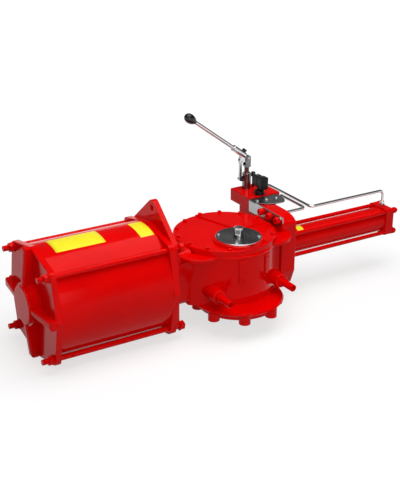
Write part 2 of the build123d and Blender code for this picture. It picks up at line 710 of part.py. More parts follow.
def with_port(plate, x):
    """An end plate with an air port: a boss on its back side and a hole down into the plate."""
    mouth = CRANK + CROWN + PORT_PROUD
    plate += rod("Y", PORT_BOSS_R, CRANK + CROWN - PORT_ROOT, mouth, AXIS_Z, x)
    return plate - rod("Y", PORT_R, mouth - PORT_DEPTH, mouth + 1, AXIS_Z, x)


def outer_end_cap():
    """Ribbed cap at the far end of the air cylinder."""
    face = CAP_X - CAP_PLATE
    solid = extrude(across("X", face, CRANK, AXIS_Z) * crowned_plan(), CAP_PLATE)
    solid = fillet(solid.faces().sort_by(Axis.X)[0].outer_wire().edges(), 3)
    hub = rod("X", CAP_HUB_R, face - RIB_ROOT + 9, face + 1, CRANK, AXIS_Z)
    hub += rod("X", CAP_HUB_R - CAP_HUB_STEP, face - RIB_ROOT - 1, face, CRANK, AXIS_Z)
    hub = fillet(hub.edges().sort_by(Axis.X)[0], 4)
    axis = Axis((0, CRANK, AXIS_Z), (1, 0, 0))
    ribs = [rib().rotate(axis, 90 * turn) for turn in range(4)]
    solid = solid.fuse(hub, *ribs, register(CAP_X, CAP_X + REGISTER))
    solid -= rod("X", 30, CAP_X - 2, CAP_X + REGISTER + 1, CRANK, AXIS_Z)
    for hole in tie_holes(TIE_R, face - 60, CAP_X + 1):
        solid -= hole
    return with_port(solid, CAP_X - CAP_PLATE / 2)


def inner_end_flange():
    """Plate that closes the cylinder on the housing's side and carries the rod bush."""
    solid = extrude(across("X", HEAD_X, CRANK, AXIS_Z) * crowned_plan(), HEAD_PLATE)
    solid = fillet(solid.faces().sort_by(Axis.X)[-1].outer_wire().edges(), 2)
    solid += register(HEAD_X - REGISTER, HEAD_X)
    solid -= rod("X", ROD_R + 8, HEAD_X - 99, HEAD_X + 99, CRANK, AXIS_Z)
    for hole in tie_holes(TIE_R, HEAD_X - 1, HEAD_X + HEAD_PLATE + 1):
        solid -= hole
    return with_port(solid, HEAD_X + HEAD_PLATE / 2)


def lifting_plate():
    """Plate between the cylinder and the neck, drawn up to a lifting eye."""
    x = HEAD_X + HEAD_PLATE
    tip_z = LUG_TOP_Z - LUG_TIP_R - AXIS_Z
    shoulder = TIE_HALF
    circles = (Pos(0, tip_z) * Circle(LUG_TIP_R)).edges()
    for i in (-1, 1):
        for j in (-1, 1):
            circles += (Pos(i * (LUG_BASE_HALF - 14), j * shoulder) * Circle(14)).edges()
    plan = make_hull(circles) - Circle(NECK_BORE_R)
    plan -= Pos(0, LUG_EYE_Z - AXIS_Z) * Circle(LUG_EYE_R)
    solid = extrude(across("X", x, CRANK, AXIS_Z) * plan, LUG_PLATE)
    for hole in tie_holes(TIE_R, x - 1, x + LUG_PLATE + 1):
        solid -= hole
    return solid


def cylinder_tie_rods():
    """Four long studs."""
    return group(*[rod("X", TIE_R, STUD_END_X, STUD_INNER_X, y, z) for y, z in corners(TIE_HALF)])


def tie_rod_nuts():
    """Nuts and washers at both ends of the studs."""
    pieces = []
    outer = CAP_X - CAP_PLATE
    inner = HEAD_X + HEAD_PLATE + LUG_PLATE
    for y, z in corners(TIE_HALF):
        hole = rod("X", TIE_R, STUD_END_X - 1, STUD_INNER_X + 1, y, z)
        left = hexagon("X", NUT_ACROSS, outer - WASHER - NUT, outer - WASHER, y, z)
        left += rod("X", WASHER_R, outer - WASHER, outer, y, z)
        right = hexagon("X", NUT_ACROSS, inner + WASHER, inner + WASHER + NUT, y, z)
        right += rod("X", WASHER_R, inner, inner + WASHER, y, z)
        pieces += [left - hole, right - hole]
    return group(*pieces)


def air_cylinder():
    """Everything of the air cylinder that stands still."""
    outer_r = BORE_R + TUBE_WALL
    save("cylinder_tube", tube("X", outer_r, BORE_R, CAP_X, HEAD_X, CRANK, AXIS_Z))
    save("outer_end_cap", outer_end_cap())
    save("inner_end_flange", inner_end_flange())
    save("lifting_plate", lifting_plate())
    save("cylinder_tie_rods", cylinder_tie_rods())
    save("tie_rod_nuts", tie_rod_nuts())
    save("rod_bush", tube("X", ROD_R + 8, ROD_R + RUN_GAP, HEAD_X - REGISTER,
                          HEAD_X + HEAD_PLATE, CRANK, AXIS_Z))
    rings = []
    for middle in (CAP_X + REGISTER / 2, HEAD_X - REGISTER / 2):
        rings.append(tube("X", BORE_R - SEAT_GAP / 2, BORE_R - SEAL, middle - SEAL / 2,
                          middle + SEAL / 2, CRANK, AXIS_Z))
    save("tube_seals", group(*rings))


# ---------------------------------------------------------------- travel stops
def travel_stops():
    """Stop screws, and the sleeves over their outer ends."""
    screws, sleeves = [], []
    for side in (-1, 1):
        x = side * STOP_X
        screws.append(rod("Y", STOP_SCREW_R, SLEEVE_END_Y + 12, STOP_TIP_Y, STOP_Z, x))
        sleeve = tube("Y", SLEEVE_R, STOP_SCREW_R + SEAT_GAP, SLEEVE_END_Y, STOP_BOSS_Y - 12,
                      STOP_Z, x)
        nut = hexagon("Y", 28, STOP_BOSS_Y - 12, STOP_BOSS_Y, STOP_Z, x)
        sleeves.append(sleeve + nut - rod("Y", STOP_SCREW_R + SEAT_GAP, -200, 0, STOP_Z, x))
    save("stop_screws", group(*screws))
    save("stop_sleeves", group(*sleeves))


# ---------------------------------------------------------------- hydraulic override
def arch_plan():
    """Outline of the adapter about the cylinder axis: a low arch on a tapered foot."""
    top = ARCH_TOP_Z - AXIS_Z
    shoulder = ARCH_SHOULDER_Z - AXIS_Z
    foot = ARCH_FOOT_Z - AXIS_Z
    low = ARCH_LOW_Z - AXIS_Z
    left = Line((-ARCH_HALF, foot), (-ARCH_HALF, shoulder))
    wide = ARCH_HALF - ARCH_FLAT
    left_arc = EllipticalCenterArc((-ARCH_FLAT, shoulder), wide, top - shoulder, 90, arc_size=90)
    flat = Line((-ARCH_FLAT, top), (ARCH_FLAT, top))
    right_arc = EllipticalCenterArc((ARCH_FLAT, shoulder), wide, top - shoulder, 0, arc_size=90)
    rest = Polyline((ARCH_HALF, shoulder), (ARCH_HALF, foot), (ARCH_FOOT_HALF, low),
                    (-ARCH_FOOT_HALF, low), (-ARCH_HALF, foot))
    return make_face([left, left_arc, flat, right_arc, rest])


def override_adapter():
    """Arch-shaped block between the gearcase and the override cylinder."""
    solid = extrude(across("X", END_FACE_X, CRANK, AXIS_Z) * arch_plan(), ADAPTER)
    solid = fillet(solid.faces().sort_by(Axis.X)[-1].outer_wire().edges(), 3)
    bore = rod("X", OVER_ROD_R + 16, END_FACE_X - 1, END_FACE_X + ADAPTER + 1, CRANK, AXIS_Z)
    solid -= bore
    for hole in tie_holes(OVER_TIE_R, END_FACE_X + 20, END_FACE_X + ADAPTER + 1, OVER_TIE_HALF):
        solid -= hole
    return solid


def square_block(start, length):
    """Square end block of the override cylinder with rounded corners and rod holes."""
    section = RectangleRounded(2 * OVER_HALF, 2 * OVER_HALF, 7)
    solid = extrude(across("X", start, CRANK, AXIS_Z) * section, length)
    for hole in tie_holes(OVER_TIE_R, start - 1, start + length + 1, OVER_TIE_HALF):
        solid -= hole
    return solid


def port_drop(x):
    """Cutter for a tube's port in the top of an end block."""
    return rod("Z", TUBE_R, AXIS_Z + OVER_BORE_R - 8, AXIS_Z + OVER_HALF + 1, x, CRANK)


OVER_HEAD_X = END_FACE_X + ADAPTER
NEAR_PORT_X = OVER_HEAD_X + OVER_HEAD / 2
FAR_PORT_X = OVER_END_X + OVER_END / 2


def override_inner_head():
    """Block with the override rod's bush hole and the near port."""
    x = OVER_HEAD_X
    solid = square_block(x, OVER_HEAD)
    solid += rod("X", OVER_BORE_R - SEAT_GAP, x, x + OVER_HEAD + OVER_REGISTER, CRANK, AXIS_Z)
    solid -= rod("X", OVER_ROD_R + RUN_GAP, x - 1, x + 99, CRANK, AXIS_Z)
    return solid - port_drop(NEAR_PORT_X)


def override_end_block():
    """Square block at the far end."""
    solid = square_block(OVER_END_X, OVER_END)
    solid = fillet(solid.faces().sort_by(Axis.X)[-1].outer_wire().edges(), 2)
    start = OVER_END_X - OVER_REGISTER
    solid += rod("X", OVER_BORE_R - SEAT_GAP, start, OVER_END_X + 1, CRANK, AXIS_Z)
    solid -= rod("X", 16, start - 1, OVER_END_X + 6, CRANK, AXIS_Z)
    return solid - port_drop(FAR_PORT_X)


def override_cylinder():
    """Everything of the override cylinder that stands still."""
    start = OVER_HEAD_X + OVER_HEAD
    outer_r = OVER_BORE_R + OVER_WALL
    save("override_adapter", override_adapter())
    save("override_inner_head", override_inner_head())
    save("override_tube", tube("X", outer_r, OVER_BORE_R, start, OVER_END_X, CRANK, AXIS_Z))
    save("override_end_block", override_end_block())
    rods, nuts = [], []
    for y, z in corners(OVER_TIE_HALF):
        rods.append(rod("X", OVER_TIE_R, END_FACE_X + 22, OVER_TIE_END_X, y, z))
        end = OVER_END_X + OVER_END
        nut = hexagon("X", OVER_NUT_ACROSS, end, end + OVER_NUT, y, z)
        nut += rod("X", OVER_TIE_R + 2, end + OVER_NUT, end + OVER_NUT + 4, y, z)
        nuts.append(nut - rod("X", OVER_TIE_R, end - 1, end + 99, y, z))
    save("override_tie_rods", group(*rods))
    save("override_tie_nuts", group(*nuts))


# ---------------------------------------------------------------- manifold and bracket
def manifold_block():
    """Valve block: a wide head on a column that stands against the adapter's back."""
    x1 = MANIFOLD_X + MANIFOLD_LENGTH
    head = box(MANIFOLD_X, x1, MANIFOLD_Y, MANIFOLD_Y + MANIFOLD_DEPTH, MANIFOLD_LOW_Z,
               MANIFOLD_TOP_Z)
    head = chamfer(head.edges(), 1.5)
    back = CRANK + ARCH_HALF
    column = box(END_FACE_X, END_FACE_X + ADAPTER, back, MANIFOLD_Y + COLUMN_DEPTH,
                 COLUMN_LOW_Z, MANIFOLD_LOW_Z + 1)
    column = chamfer(column.edges().filter_by(Axis.Z), 1.5)
    solid = head + column
    solid -= rod("Y", TUBE_R, MANIFOLD_Y + MANIFOLD_DEPTH - 12, 400, RUN_Z, far_start_x())
    return solid - rod("X", TUBE_R, x1 - 12, x1 + 1, near_start_y(), RUN_Z)


def far_start_x():
    """X of the far tube's port in the back of the manifold."""
    return MANIFOLD_X + MANIFOLD_LENGTH - 26


def near_start_y():
    """Y of the near tube's port in the end of the manifold."""
    return MANIFOLD_Y + 50


def mounting_bracket():
    """Bent sheet: an upright leg on the adapter's face, and a shelf over the arch."""
    leg_plan = Polyline((MANIFOLD_Y - 1, LEG_LOW_Z), (MANIFOLD_Y - 1, LEG_TOP_Z), (LEG_FRONT_Y, LEG_TOP_Z),
                        (LEG_FRONT_Y + 29, LEG_LOW_Z), close=True)
    plane = Plane(origin=(END_FACE_X - SHEET, 0, 0), x_dir=(0, 1, 0), z_dir=(1, 0, 0))
    solid = extrude(plane * make_face(leg_plan), SHEET)
    back = MANIFOLD_Y - 1
    face = END_FACE_X - SHEET
    shelf = Polyline((face, back), (SHELF_END_X, back), (SHELF_END_X - 10, back - 40),
                     (SHELF_NOSE_X, SHELF_FRONT_Y), (SHELF_HEEL_X, SHELF_FRONT_Y + 17),
                     (face, SHELF_FRONT_Y + 38), close=True)
    shelf = make_face(shelf)
    rounded = shelf.vertices().sort_by(Axis.X)[-3:]
    shelf = fillet(rounded, 8)
    low = across("Z", LEG_TOP_Z - SHEET, 0, 0)
    return solid + extrude(low * shelf, SHEET)


def plug_places():
    """Places of the three plugs on the bracket's leg, as (y, z)."""
    return [(141, 237), (97, 237), (53, 237)]


def manifold_plugs():
    """Three round plugs on the bracket's leg."""
    pieces = []
    for y, z in plug_places():
        plug = rod("X", PLUG_R, END_FACE_X - SHEET - PLUG, END_FACE_X - SHEET, y, z)
        pieces.append(fillet(plug.edges().sort_by(Axis.X)[0], 2.5))
    return group(*pieces)


def shelf_screw_places():
    """Places of the screws on the bracket's shelf."""
    return [(END_FACE_X + 11, 181), (END_FACE_X + 45, 178), (END_FACE_X + 82, 175)]


def bracket_screws():
    """Button screws of the bracket: three on the shelf and one on the leg."""
    pieces = []
    for x, y in shelf_screw_places():
        head = rod("Z", 6, LEG_TOP_Z, LEG_TOP_Z + 4, x, y)
        pieces.append(fillet(head.edges().sort_by(Axis.Z)[-1], 2))
    face = END_FACE_X - SHEET
    head = rod("X", 4.5, face - 4, face, LEG_FRONT_Y + 13, LEG_TOP_Z - 7)
    pieces.append(fillet(head.edges().sort_by(Axis.X)[0], 2))
    return group(*pieces)


def selector_coil():
    """Upright coil box on its round collar."""
    coil = box(COIL_X - COIL_HALF_X, COIL_X + COIL_HALF_X, COIL_Y - COIL_HALF_Y,
               COIL_Y + COIL_HALF_Y, COIL_LOW_Z, COIL_TOP_Z)
    save("coil_housing", fillet(coil.edges(), 2))
    collar = rod("Z", COLLAR_R, MANIFOLD_TOP_Z, COLLAR_TOP_Z, COIL_X, COIL_Y)
    collar = fillet(collar.edges().sort_by(Axis.Z)[-1], 2)
    save("coil_collar", collar + rod("Z", COLLAR_R - 4, COLLAR_TOP_Z, COIL_LOW_Z, COIL_X, COIL_Y))


def selector_knob():
    """Knob that opens the override circuit, on its stem."""
    knob = rod("Z", KNOB_R, KNOB_LOW_Z, KNOB_TOP_Z, KNOB_X, KNOB_Y)
    knob = fillet(knob.edges().sort_by(Axis.Z)[-1], 3)
    for k in range(6):
        turn = radians(60 * k)
        knob -= rod("Z", 2, KNOB_LOW_Z - 1, KNOB_TOP_Z + 1, KNOB_X + (KNOB_R + 0.6) * cos(turn),
                    KNOB_Y + (KNOB_R + 0.6) * sin(turn))
    stem = rod("Z", 4, MANIFOLD_TOP_Z + FACE_GAP, KNOB_LOW_Z, KNOB_X, KNOB_Y)
    return knob + stem


# ---------------------------------------------------------------- hand pump
LINK_X = PUMP_X - FULCRUM
LINK_TOP_Z = PIVOT_Z - FULCRUM_DROP


def crossways(radius, half, z, x):
    """Round bar along Y, centred on the pump's plane."""
    return rod("Y", radius, PUMP_Y - half, PUMP_Y + half, z, x)


def pump_barrel():
    """Barrel on the manifold, with two lugs for the link's foot and a groove."""
    solid = tube("Z", BARREL_R, PLUNGER_R + 2, MANIFOLD_TOP_Z, BARREL_TOP_Z, PUMP_X, PUMP_Y)
    solid -= tube("Z", BARREL_R + 1, BARREL_R - 0.8, GROOVE_Z, GROOVE_Z + 2, PUMP_X, PUMP_Y)
    outer = LINK_HALF + FACE_GAP + LUG
    lug = box(LINK_X, PUMP_X - PLUNGER_R - 4, PUMP_Y - outer, PUMP_Y + outer,
              LINK_FOOT_Z - LINK_FOOT_R, LINK_FOOT_Z + LINK_FOOT_R)
    lug += crossways(LINK_FOOT_R, outer, LINK_FOOT_Z, LINK_X)
    inner = LINK_HALF + FACE_GAP
    lug -= box(LINK_X - 9, LINK_X + LINK_EYE_R, PUMP_Y - inner, PUMP_Y + inner, 0, PIVOT_Z)
    solid += lug
    solid -= rod("Z", PLUNGER_R + 2, MANIFOLD_TOP_Z, BARREL_TOP_Z, PUMP_X, PUMP_Y)
    return solid - crossways(LINK_PIN_R + RUN_GAP, outer + 1, LINK_FOOT_Z, LINK_X)


def pump_gland():
    """Gland nut in the barrel's mouth."""
    return tube("Z", GLAND_R, PLUNGER_R + RUN_GAP, BARREL_TOP_Z, BARREL_TOP_Z + GLAND, PUMP_X, PUMP_Y)


def pump_plunger():
    """Plunger with the fork for the lever on top."""
    fork_low = PIVOT_Z - FORK_DEPTH
    solid = rod("Z", PLUNGER_R, MANIFOLD_TOP_Z + 6, fork_low, PUMP_X, PUMP_Y)
    inner = HEAD_HALF + FACE_GAP
    outer = inner + FORK
    solid += box(PUMP_X - PLUNGER_R, PUMP_X + PLUNGER_R, PUMP_Y - outer, PUMP_Y + outer,
                 fork_low - 6, fork_low)
    cheeks = box(PUMP_X - FORK_R, PUMP_X + FORK_R, PUMP_Y - outer, PUMP_Y + outer, fork_low, PIVOT_Z)
    cheeks += crossways(FORK_R, outer, PIVOT_Z, PUMP_X)
    cheeks -= box(PUMP_X - 20, PUMP_X + 20, PUMP_Y - inner, PUMP_Y + inner, fork_low, PIVOT_Z + 20)
    return solid + cheeks - crossways(LEVER_PIN_R, outer + 1, PIVOT_Z, PUMP_X)


def lever_pin():
    """Pin through the fork and the lever's head."""
    return crossways(LEVER_PIN_R, HEAD_HALF + FACE_GAP + FORK + 2, PIVOT_Z, PUMP_X)


def pump_link():
    """The link between the barrel's lugs and the lever, with a wide eye at its top."""
    x = LINK_X
    solid = box(x - LINK_WIDTH / 2, x + LINK_WIDTH / 2, PUMP_Y - LINK_HALF, PUMP_Y + LINK_HALF,
                LINK_FOOT_Z, LINK_TOP_Z)
    solid += crossways(LINK_FOOT_R, LINK_HALF, LINK_FOOT_Z, x)
    solid += crossways(LINK_EYE_R, LINK_HALF, LINK_TOP_Z, x)
    solid -= crossways(LINK_PIN_R + LINK_PLAY, LINK_HALF + 1, LINK_TOP_Z, x)
    return solid - crossways(LINK_PIN_R, LINK_HALF + 1, LINK_FOOT_Z, x)


def link_foot_pin():
    """Pin at the foot of the link."""
    return crossways(LINK_PIN_R, LINK_HALF + FACE_GAP + LUG + 1, LINK_FOOT_Z, LINK_X)


def lever_plane(distance):
    """Plane across the lever at a distance from its pin."""
    rise = radians(LEVER_RISE)
    direction = (-cos(rise), 0, sin(rise))
    origin = (PUMP_X - distance * cos(rise), PUMP_Y, PIVOT_Z + distance * sin(rise))
    return Plane(origin=origin, x_dir=(0, 1, 0), z_dir=direction)


def along_lever(distance, lift=0.0):
    """Point at a distance along the lever from its pin, lifted square to it, as (x, z)."""
    rise = radians(LEVER_RISE)
    x = PUMP_X - distance * cos(rise) + lift * sin(rise)
    return x, PIVOT_Z + distance * sin(rise) + lift * cos(rise)


def lever_socket():
    """Lever head: a web that joins both pins to the socket, forked round the link's eye."""
    marks = (Pos(PUMP_X, PIVOT_Z) * Circle(WEB_R)).edges()
    marks += (Pos(LINK_X, LINK_TOP_Z) * Circle(WEB_R - 1.5)).edges()
    marks += (Pos(*along_lever(SOCKET_START + WEB_R)) * Circle(WEB_R)).edges()
    plane = Plane(origin=(0, PUMP_Y + HEAD_HALF, 0), x_dir=(1, 0, 0), z_dir=(0, -1, 0))
    solid = extrude(plane * make_hull(marks), 2 * HEAD_HALF)
    solid -= crossways(LINK_EYE_R + 2, LINK_HALF + 2 * FACE_GAP, LINK_TOP_Z, LINK_X)
    sleeve = extrude(lever_plane(SOCKET_START) * Circle(SOCKET_R), SOCKET_END - SOCKET_START)
    solid += fillet(sleeve.edges().filter_by(GeomType.CIRCLE), 1.5)
    solid -= extrude(lever_plane(BAR_START) * Circle(LEVER_R), LEVER_END)
    solid -= extrude(clamp_plane(0) * Circle(CLAMP_R), SOCKET_R + 1)
    solid -= crossways(LEVER_PIN_R + RUN_GAP, HEAD_HALF + 1, PIVOT_Z, PUMP_X)
    return solid - crossways(LINK_PIN_R, HEAD_HALF + 1, LINK_TOP_Z, LINK_X)


def link_top_pin():
    """Pin of the open pivot, fixed in the lever's head."""
    return crossways(LINK_PIN_R, HEAD_HALF + 1, LINK_TOP_Z, LINK_X)


def clamp_plane(lift):
    """Plane across the clamp screw's axis, at a height above the lever's axis."""
    rise = radians(LEVER_RISE)
    x, z = along_lever(CLAMP_AT, lift)
    return Plane(origin=(x, PUMP_Y, z), x_dir=(0, 1, 0), z_dir=(sin(rise), 0, cos(rise)))


def lever_clamp():
    """Knurled clamp screw that holds the bar in the socket."""
    head = extrude(clamp_plane(SOCKET_R) * Circle(CLAMP_HEAD_R), CLAMP_HEAD)
    head = fillet(head.edges().filter_by(GeomType.CIRCLE), 1.5)
    return head + extrude(clamp_plane(LEVER_R) * Circle(CLAMP_R), SOCKET_R - LEVER_R)


def lever_bar():
    """Round bar of the lever."""
    return extrude(lever_plane(BAR_START) * Circle(LEVER_R), LEVER_END - BAR_START - GRIP_SKIN)


def lever_grip():
    """Egg-shaped grip on the bar's end."""
    half = GRIP / 2
    plane = lever_plane(LEVER_END - half)
    ball = scale(Sphere(1), by=(GRIP_R, GRIP_R, half))
    solid = plane.location * ball
    bore = LEVER_END - GRIP - 20
    return solid - extrude(lever_plane(bore) * Circle(LEVER_R), LEVER_END - GRIP_SKIN - bore)


# ---------------------------------------------------------------- tubes
def swept(points, radius_list, radius):
    """Round tube along straight runs joined by arcs."""
    path = FilletPolyline(*points, radius=radius_list)
    start = path @ 0
    section = Plane(origin=start, z_dir=path % 0) * (Circle(radius) - Circle(TUBE_BORE_R))
    return sweep(section, path=path)


def far_tube():
    """Tube from the back of the manifold to the far end block."""
    back = MANIFOLD_Y + MANIFOLD_DEPTH
    top = AXIS_Z + OVER_HALF + FITTING
    points = [(far_start_x(), back + FITTING, RUN_Z), (far_start_x(), FAR_BACK_Y, RUN_Z),
              (FAR_RUN_X, FAR_BACK_Y, RUN_Z), (FAR_RUN_X, CRANK, RUN_Z),
              (FAR_PORT_X, CRANK, RUN_Z), (FAR_PORT_X, CRANK, top)]
    return swept(points, [TUBE_BEND] * 4, TUBE_R)


def near_tube():
    """Tube from the end of the manifold to the near head."""
    x1 = MANIFOLD_X + MANIFOLD_LENGTH
    top = AXIS_Z + OVER_HALF + FITTING
    points = [(x1 + FITTING, near_start_y(), RUN_Z), (NEAR_RUN_X, near_start_y(), RUN_Z),
              (NEAR_RUN_X, CRANK, RUN_Z), (NEAR_PORT_X, CRANK, RUN_Z), (NEAR_PORT_X, CRANK, top)]
    return swept(points, [TUBE_BEND - 1] * 3, TUBE_R)


def tube_fittings():
    """Straight fittings at the four ends of the tubes."""
    x1 = MANIFOLD_X + MANIFOLD_LENGTH
    back = MANIFOLD_Y + MANIFOLD_DEPTH
    top = AXIS_Z + OVER_HALF
    pieces = []
    for x in (NEAR_PORT_X, FAR_PORT_X):
        fitting = hexagon("Z", 17, top, top + 8, x, CRANK)
        fitting += rod("Z", FITTING_R - 1, top + 8, top + FITTING, x, CRANK)
        fitting += rod("Z", TUBE_R, top - 8, top, x, CRANK)
        pieces.append(fitting)
    fitting = hexagon("X", 17, x1, x1 + 8, near_start_y(), RUN_Z)
    fitting += rod("X", FITTING_R - 1, x1 + 8, x1 + FITTING, near_start_y(), RUN_Z)
    pieces.append(fitting + rod("X", TUBE_R, x1 - 10, x1, near_start_y(), RUN_Z))
    fitting = hexagon("Y", 17, back, back + 8, RUN_Z, far_start_x())
    fitting += rod("Y", FITTING_R - 1, back + 8, back + FITTING, RUN_Z, far_start_x())
    pieces.append(fitting + rod("Y", TUBE_R, back - 10, back, RUN_Z, far_start_x()))
    return group(*pieces)


# ---------------------------------------------------------------- the whole actuator
def main():
    """Build every node."""
    os.makedirs("parts", exist_ok=True)
    save("yoke_housing", yoke_housing())
    save("housing_cover", housing_cover())
    save("cover_screws", cover_screws())
    save("top_plate", top_plate())
    save("top_plate_screws", top_plate_screws())
    yoke_bushes()
    save("guide_bar", rod("X", BAR_R, -HOUSING_HALF, HOUSING_HALF, BAR_Y, AXIS_Z))
    save("scotch_yoke", scotch_yoke())
    save("indicator_stub", indicator_stub())
    save("guide_block", guide_block())
    save("drive_pin", drive_pin())
    save("rollers", rollers())
    save("piston_rod", piston_rod())
    save("piston", piston())
    save("piston_seal", piston_seal())
    save("piston_nut", piston_nut())
    save("override_rod", override_rod())
    save("override_piston", override_piston())
    save("override_piston_seal", override_piston_seal())
    air_cylinder()
    travel_stops()
    override_cylinder()
    save("manifold_block", manifold_block())
    save("mounting_bracket", mounting_bracket())
    save("manifold_plugs", manifold_plugs())
    save("bracket_screws", bracket_screws())
    selector_coil()
    save("selector_knob", selector_knob())
    save("pump_barrel", pump_barrel())
    save("pump_gland", pump_gland())
    save("pump_plunger", pump_plunger())
    save("lever_pin", lever_pin())
    save("pump_link", pump_link())
    save("link_foot_pin", link_foot_pin())
    save("lever_socket", lever_socket())
    save("link_top_pin", link_top_pin())
    save("lever_bar", lever_bar())
    save("lever_clamp", lever_clamp())
    save("lever_grip", lever_grip())
    save("pressure_tube_far", far_tube())
    save("pressure_tube_near", near_tube())
    save("tube_fittings", tube_fittings())


main()
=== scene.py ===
"""Finishes and small parts of a quarter-turn valve actuator: an air cylinder, a yoke gearcase and a
hydraulic override cylinder with its hand pump.

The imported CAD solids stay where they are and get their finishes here. Nuts, screws, studs, top
plate, stub, bracket, coil, plugs, grip, knob, fittings and labels are surfaces worked out on grids.
Blender's lengths are in metres, and the constants below say where they are in millimetres.
"""
import math

import bmesh
import bpy
import numpy as np
from bpy.props import FloatProperty, PointerProperty, StringProperty
from bpy.types import Operator, Panel, PropertyGroup
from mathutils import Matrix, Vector


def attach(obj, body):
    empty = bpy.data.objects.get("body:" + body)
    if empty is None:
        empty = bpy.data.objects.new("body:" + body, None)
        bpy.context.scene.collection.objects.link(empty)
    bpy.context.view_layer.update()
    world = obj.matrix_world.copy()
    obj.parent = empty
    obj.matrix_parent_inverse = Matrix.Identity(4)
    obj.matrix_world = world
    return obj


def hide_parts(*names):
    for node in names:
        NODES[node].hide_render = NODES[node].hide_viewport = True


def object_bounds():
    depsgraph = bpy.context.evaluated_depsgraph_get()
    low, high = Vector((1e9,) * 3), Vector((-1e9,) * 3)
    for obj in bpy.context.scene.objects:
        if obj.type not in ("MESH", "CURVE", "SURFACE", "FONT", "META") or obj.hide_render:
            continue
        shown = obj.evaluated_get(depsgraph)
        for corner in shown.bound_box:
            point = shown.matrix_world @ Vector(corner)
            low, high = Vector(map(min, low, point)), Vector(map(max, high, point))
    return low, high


bl_info = {
    "name": "Valve actuator finishes",
    "version": (1, 0, 0),
    "blender": (4, 2, 0),
    "location": "View3D > Sidebar > Actuator",
    "description": "Finishes, fasteners, grips, fittings and labels of a valve actuator",
    "category": "Object",
}

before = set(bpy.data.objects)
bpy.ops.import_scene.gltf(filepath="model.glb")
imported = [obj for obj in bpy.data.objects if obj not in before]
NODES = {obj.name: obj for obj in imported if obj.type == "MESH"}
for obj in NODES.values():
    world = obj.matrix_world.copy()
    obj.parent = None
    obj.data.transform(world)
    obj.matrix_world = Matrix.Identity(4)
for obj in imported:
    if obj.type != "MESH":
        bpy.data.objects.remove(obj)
CAD_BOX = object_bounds()
MM = 0.001
TAU = 2 * math.pi
QUARTER = math.pi / 2


def square(half):
    """The four (y, z) corners of a square round the axis of the cylinders."""
    return np.array([(CYLINDER_Y + i * half, CYLINDER_Z + j * half)
                     for i in (-1, 1) for j in (-1, 1)])


# Places and sizes in millimetres, which follow the solids. x runs along the cylinders, z is up
CYLINDER_Y = 115.0
CYLINDER_Z = 122.0
CYLINDER_R = 172.5
OVER_TUBE_R = 43.0
STUDS = square(129.6)
STUD_R = 9.0
STUD_ENDS = (-674.5, -204.0)
OUTER_SEAT = -640.0
INNER_SEAT = -224.0
OVER_STUDS = square(38.0)
OVER_STUD_R = 7.4
OVER_STUD_ENDS = (202.0, 708.0)
OVER_SEAT = 690.0
PLATE_LOW = 233.0
PLATE_TOP = 238.8
PLATE_R = 72.0
PLATE_FACE_R = 71.0
PLATE_BORE_R = 17.0
PLATE_SCREWS_R = 63.0
PLATE_SCREWS_TURN = 52.0  # degrees
CASE_FRONT = -300.0  # clear of the gearcase, where rays start
STRIPS = {"strip_plate_left": -36.0, "strip_plate_right": 59.0}
STRIP_Z = 156.5
STRIP_SCREWS = ((-37.0, 129.0), (-37.0, 185.0), (58.0, 129.0), (58.0, 185.0))
STOPS = ((-114.5, -78.0, 88.0), (114.5, -78.0, 88.0))
SHEET = 3.0
BEND = 5.0  # outer radius of the bracket's bend
LEG_X = 176.0
LEG_LOW = 216.0
LEG_CUT = 236.0  # below this the leg's front corner is cut back
LEG_FRONT = 15.0
LEG_SCREW = (LEG_X, 26.0, 250.0)
BRACKET_BACK = 210.0
SHELF_TOP = 257.0
SHELF_START = 170.0  # y where the shelf leaves the leg
SHELF_TIP = 287.0
SHELF_FRONT = ((176, 170), (181, 167), (203, 144), (246, 132), (287, 132))
SHELF_NOSE = (30.0, 60.0)  # length, and how far it sweeps back
SHELF_CORNER = 8.0
SHELF_SCREWS = ((190.0, 181.0, 257.0), (224.0, 178.0, 257.0), (261.0, 175.0, 257.0))
PLUGS_Y = (127.0, 81.0, 36.0)
PLUGS_Z = 242.0
COIL_X = 231.0
COIL_Y = 228.0
STUB_R = 15.0
STUB_FLAT = 12.5  # from the axis to a flat
STUB_TURN = math.radians(135)
STUB_LOW = 229.0
STUB_SHOULDER = 246.4
STUB_TOP = 268.0
KNOB_SEAT = (251.0, 300.0, 298.0)
LEVER_RISE = math.radians(36.8)
PIVOT = np.array([224.0, 300.0, 371.0])
GRIP_END = 299.4  # along the lever from its pivot

# Sizes of the fasteners and fittings, in millimetres
SLIP = 0.05  # gap round a stud, or how deep a screw is set in
WASHER = 3.0
NUT_TOP = 16.0
THREAD_DEPTH = 0.9
OVER_NUT = 21.0
OVER_PITCH = 1.75
OVER_THREAD_DEPTH = 0.8
LOCK_NUT = 28.0
LOCK_NUT_TOP = 12.0
FITTING_NUT = 17.0
FITTING = 20.0  # length
PIPE_R = 5.02  # just outside the pressure tubes
SCREW_SHANK = 8.0
SCREW_HEAD = 5.5


# ---- sizes and colours
class ActuatorPaint(PropertyGroup):
    """Colours and gloss of the finishes."""
    red: StringProperty(
        name="Enamel", description="sRGB hex of the red enamel", default="E00202")
    yellow: StringProperty(
        name="Label", description="sRGB hex of the vinyl labels", default="FFF01E")
    gloss: FloatProperty(
        name="Enamel roughness", description="Roughness of the enamel's surface",
        default=0.12, min=0.02, max=1.0, subtype="FACTOR")
    cast_grain: FloatProperty(
        name="Casting grain", description="Width of the sand casting's grain under the enamel",
        default=2.2 * MM, min=0.0002, unit="LENGTH", subtype="DISTANCE")
    edge: FloatProperty(
        name="Edge rounding", description="Radius that the enamel gives to sharp edges",
        default=1.3 * MM, min=0.0, unit="LENGTH", subtype="DISTANCE")


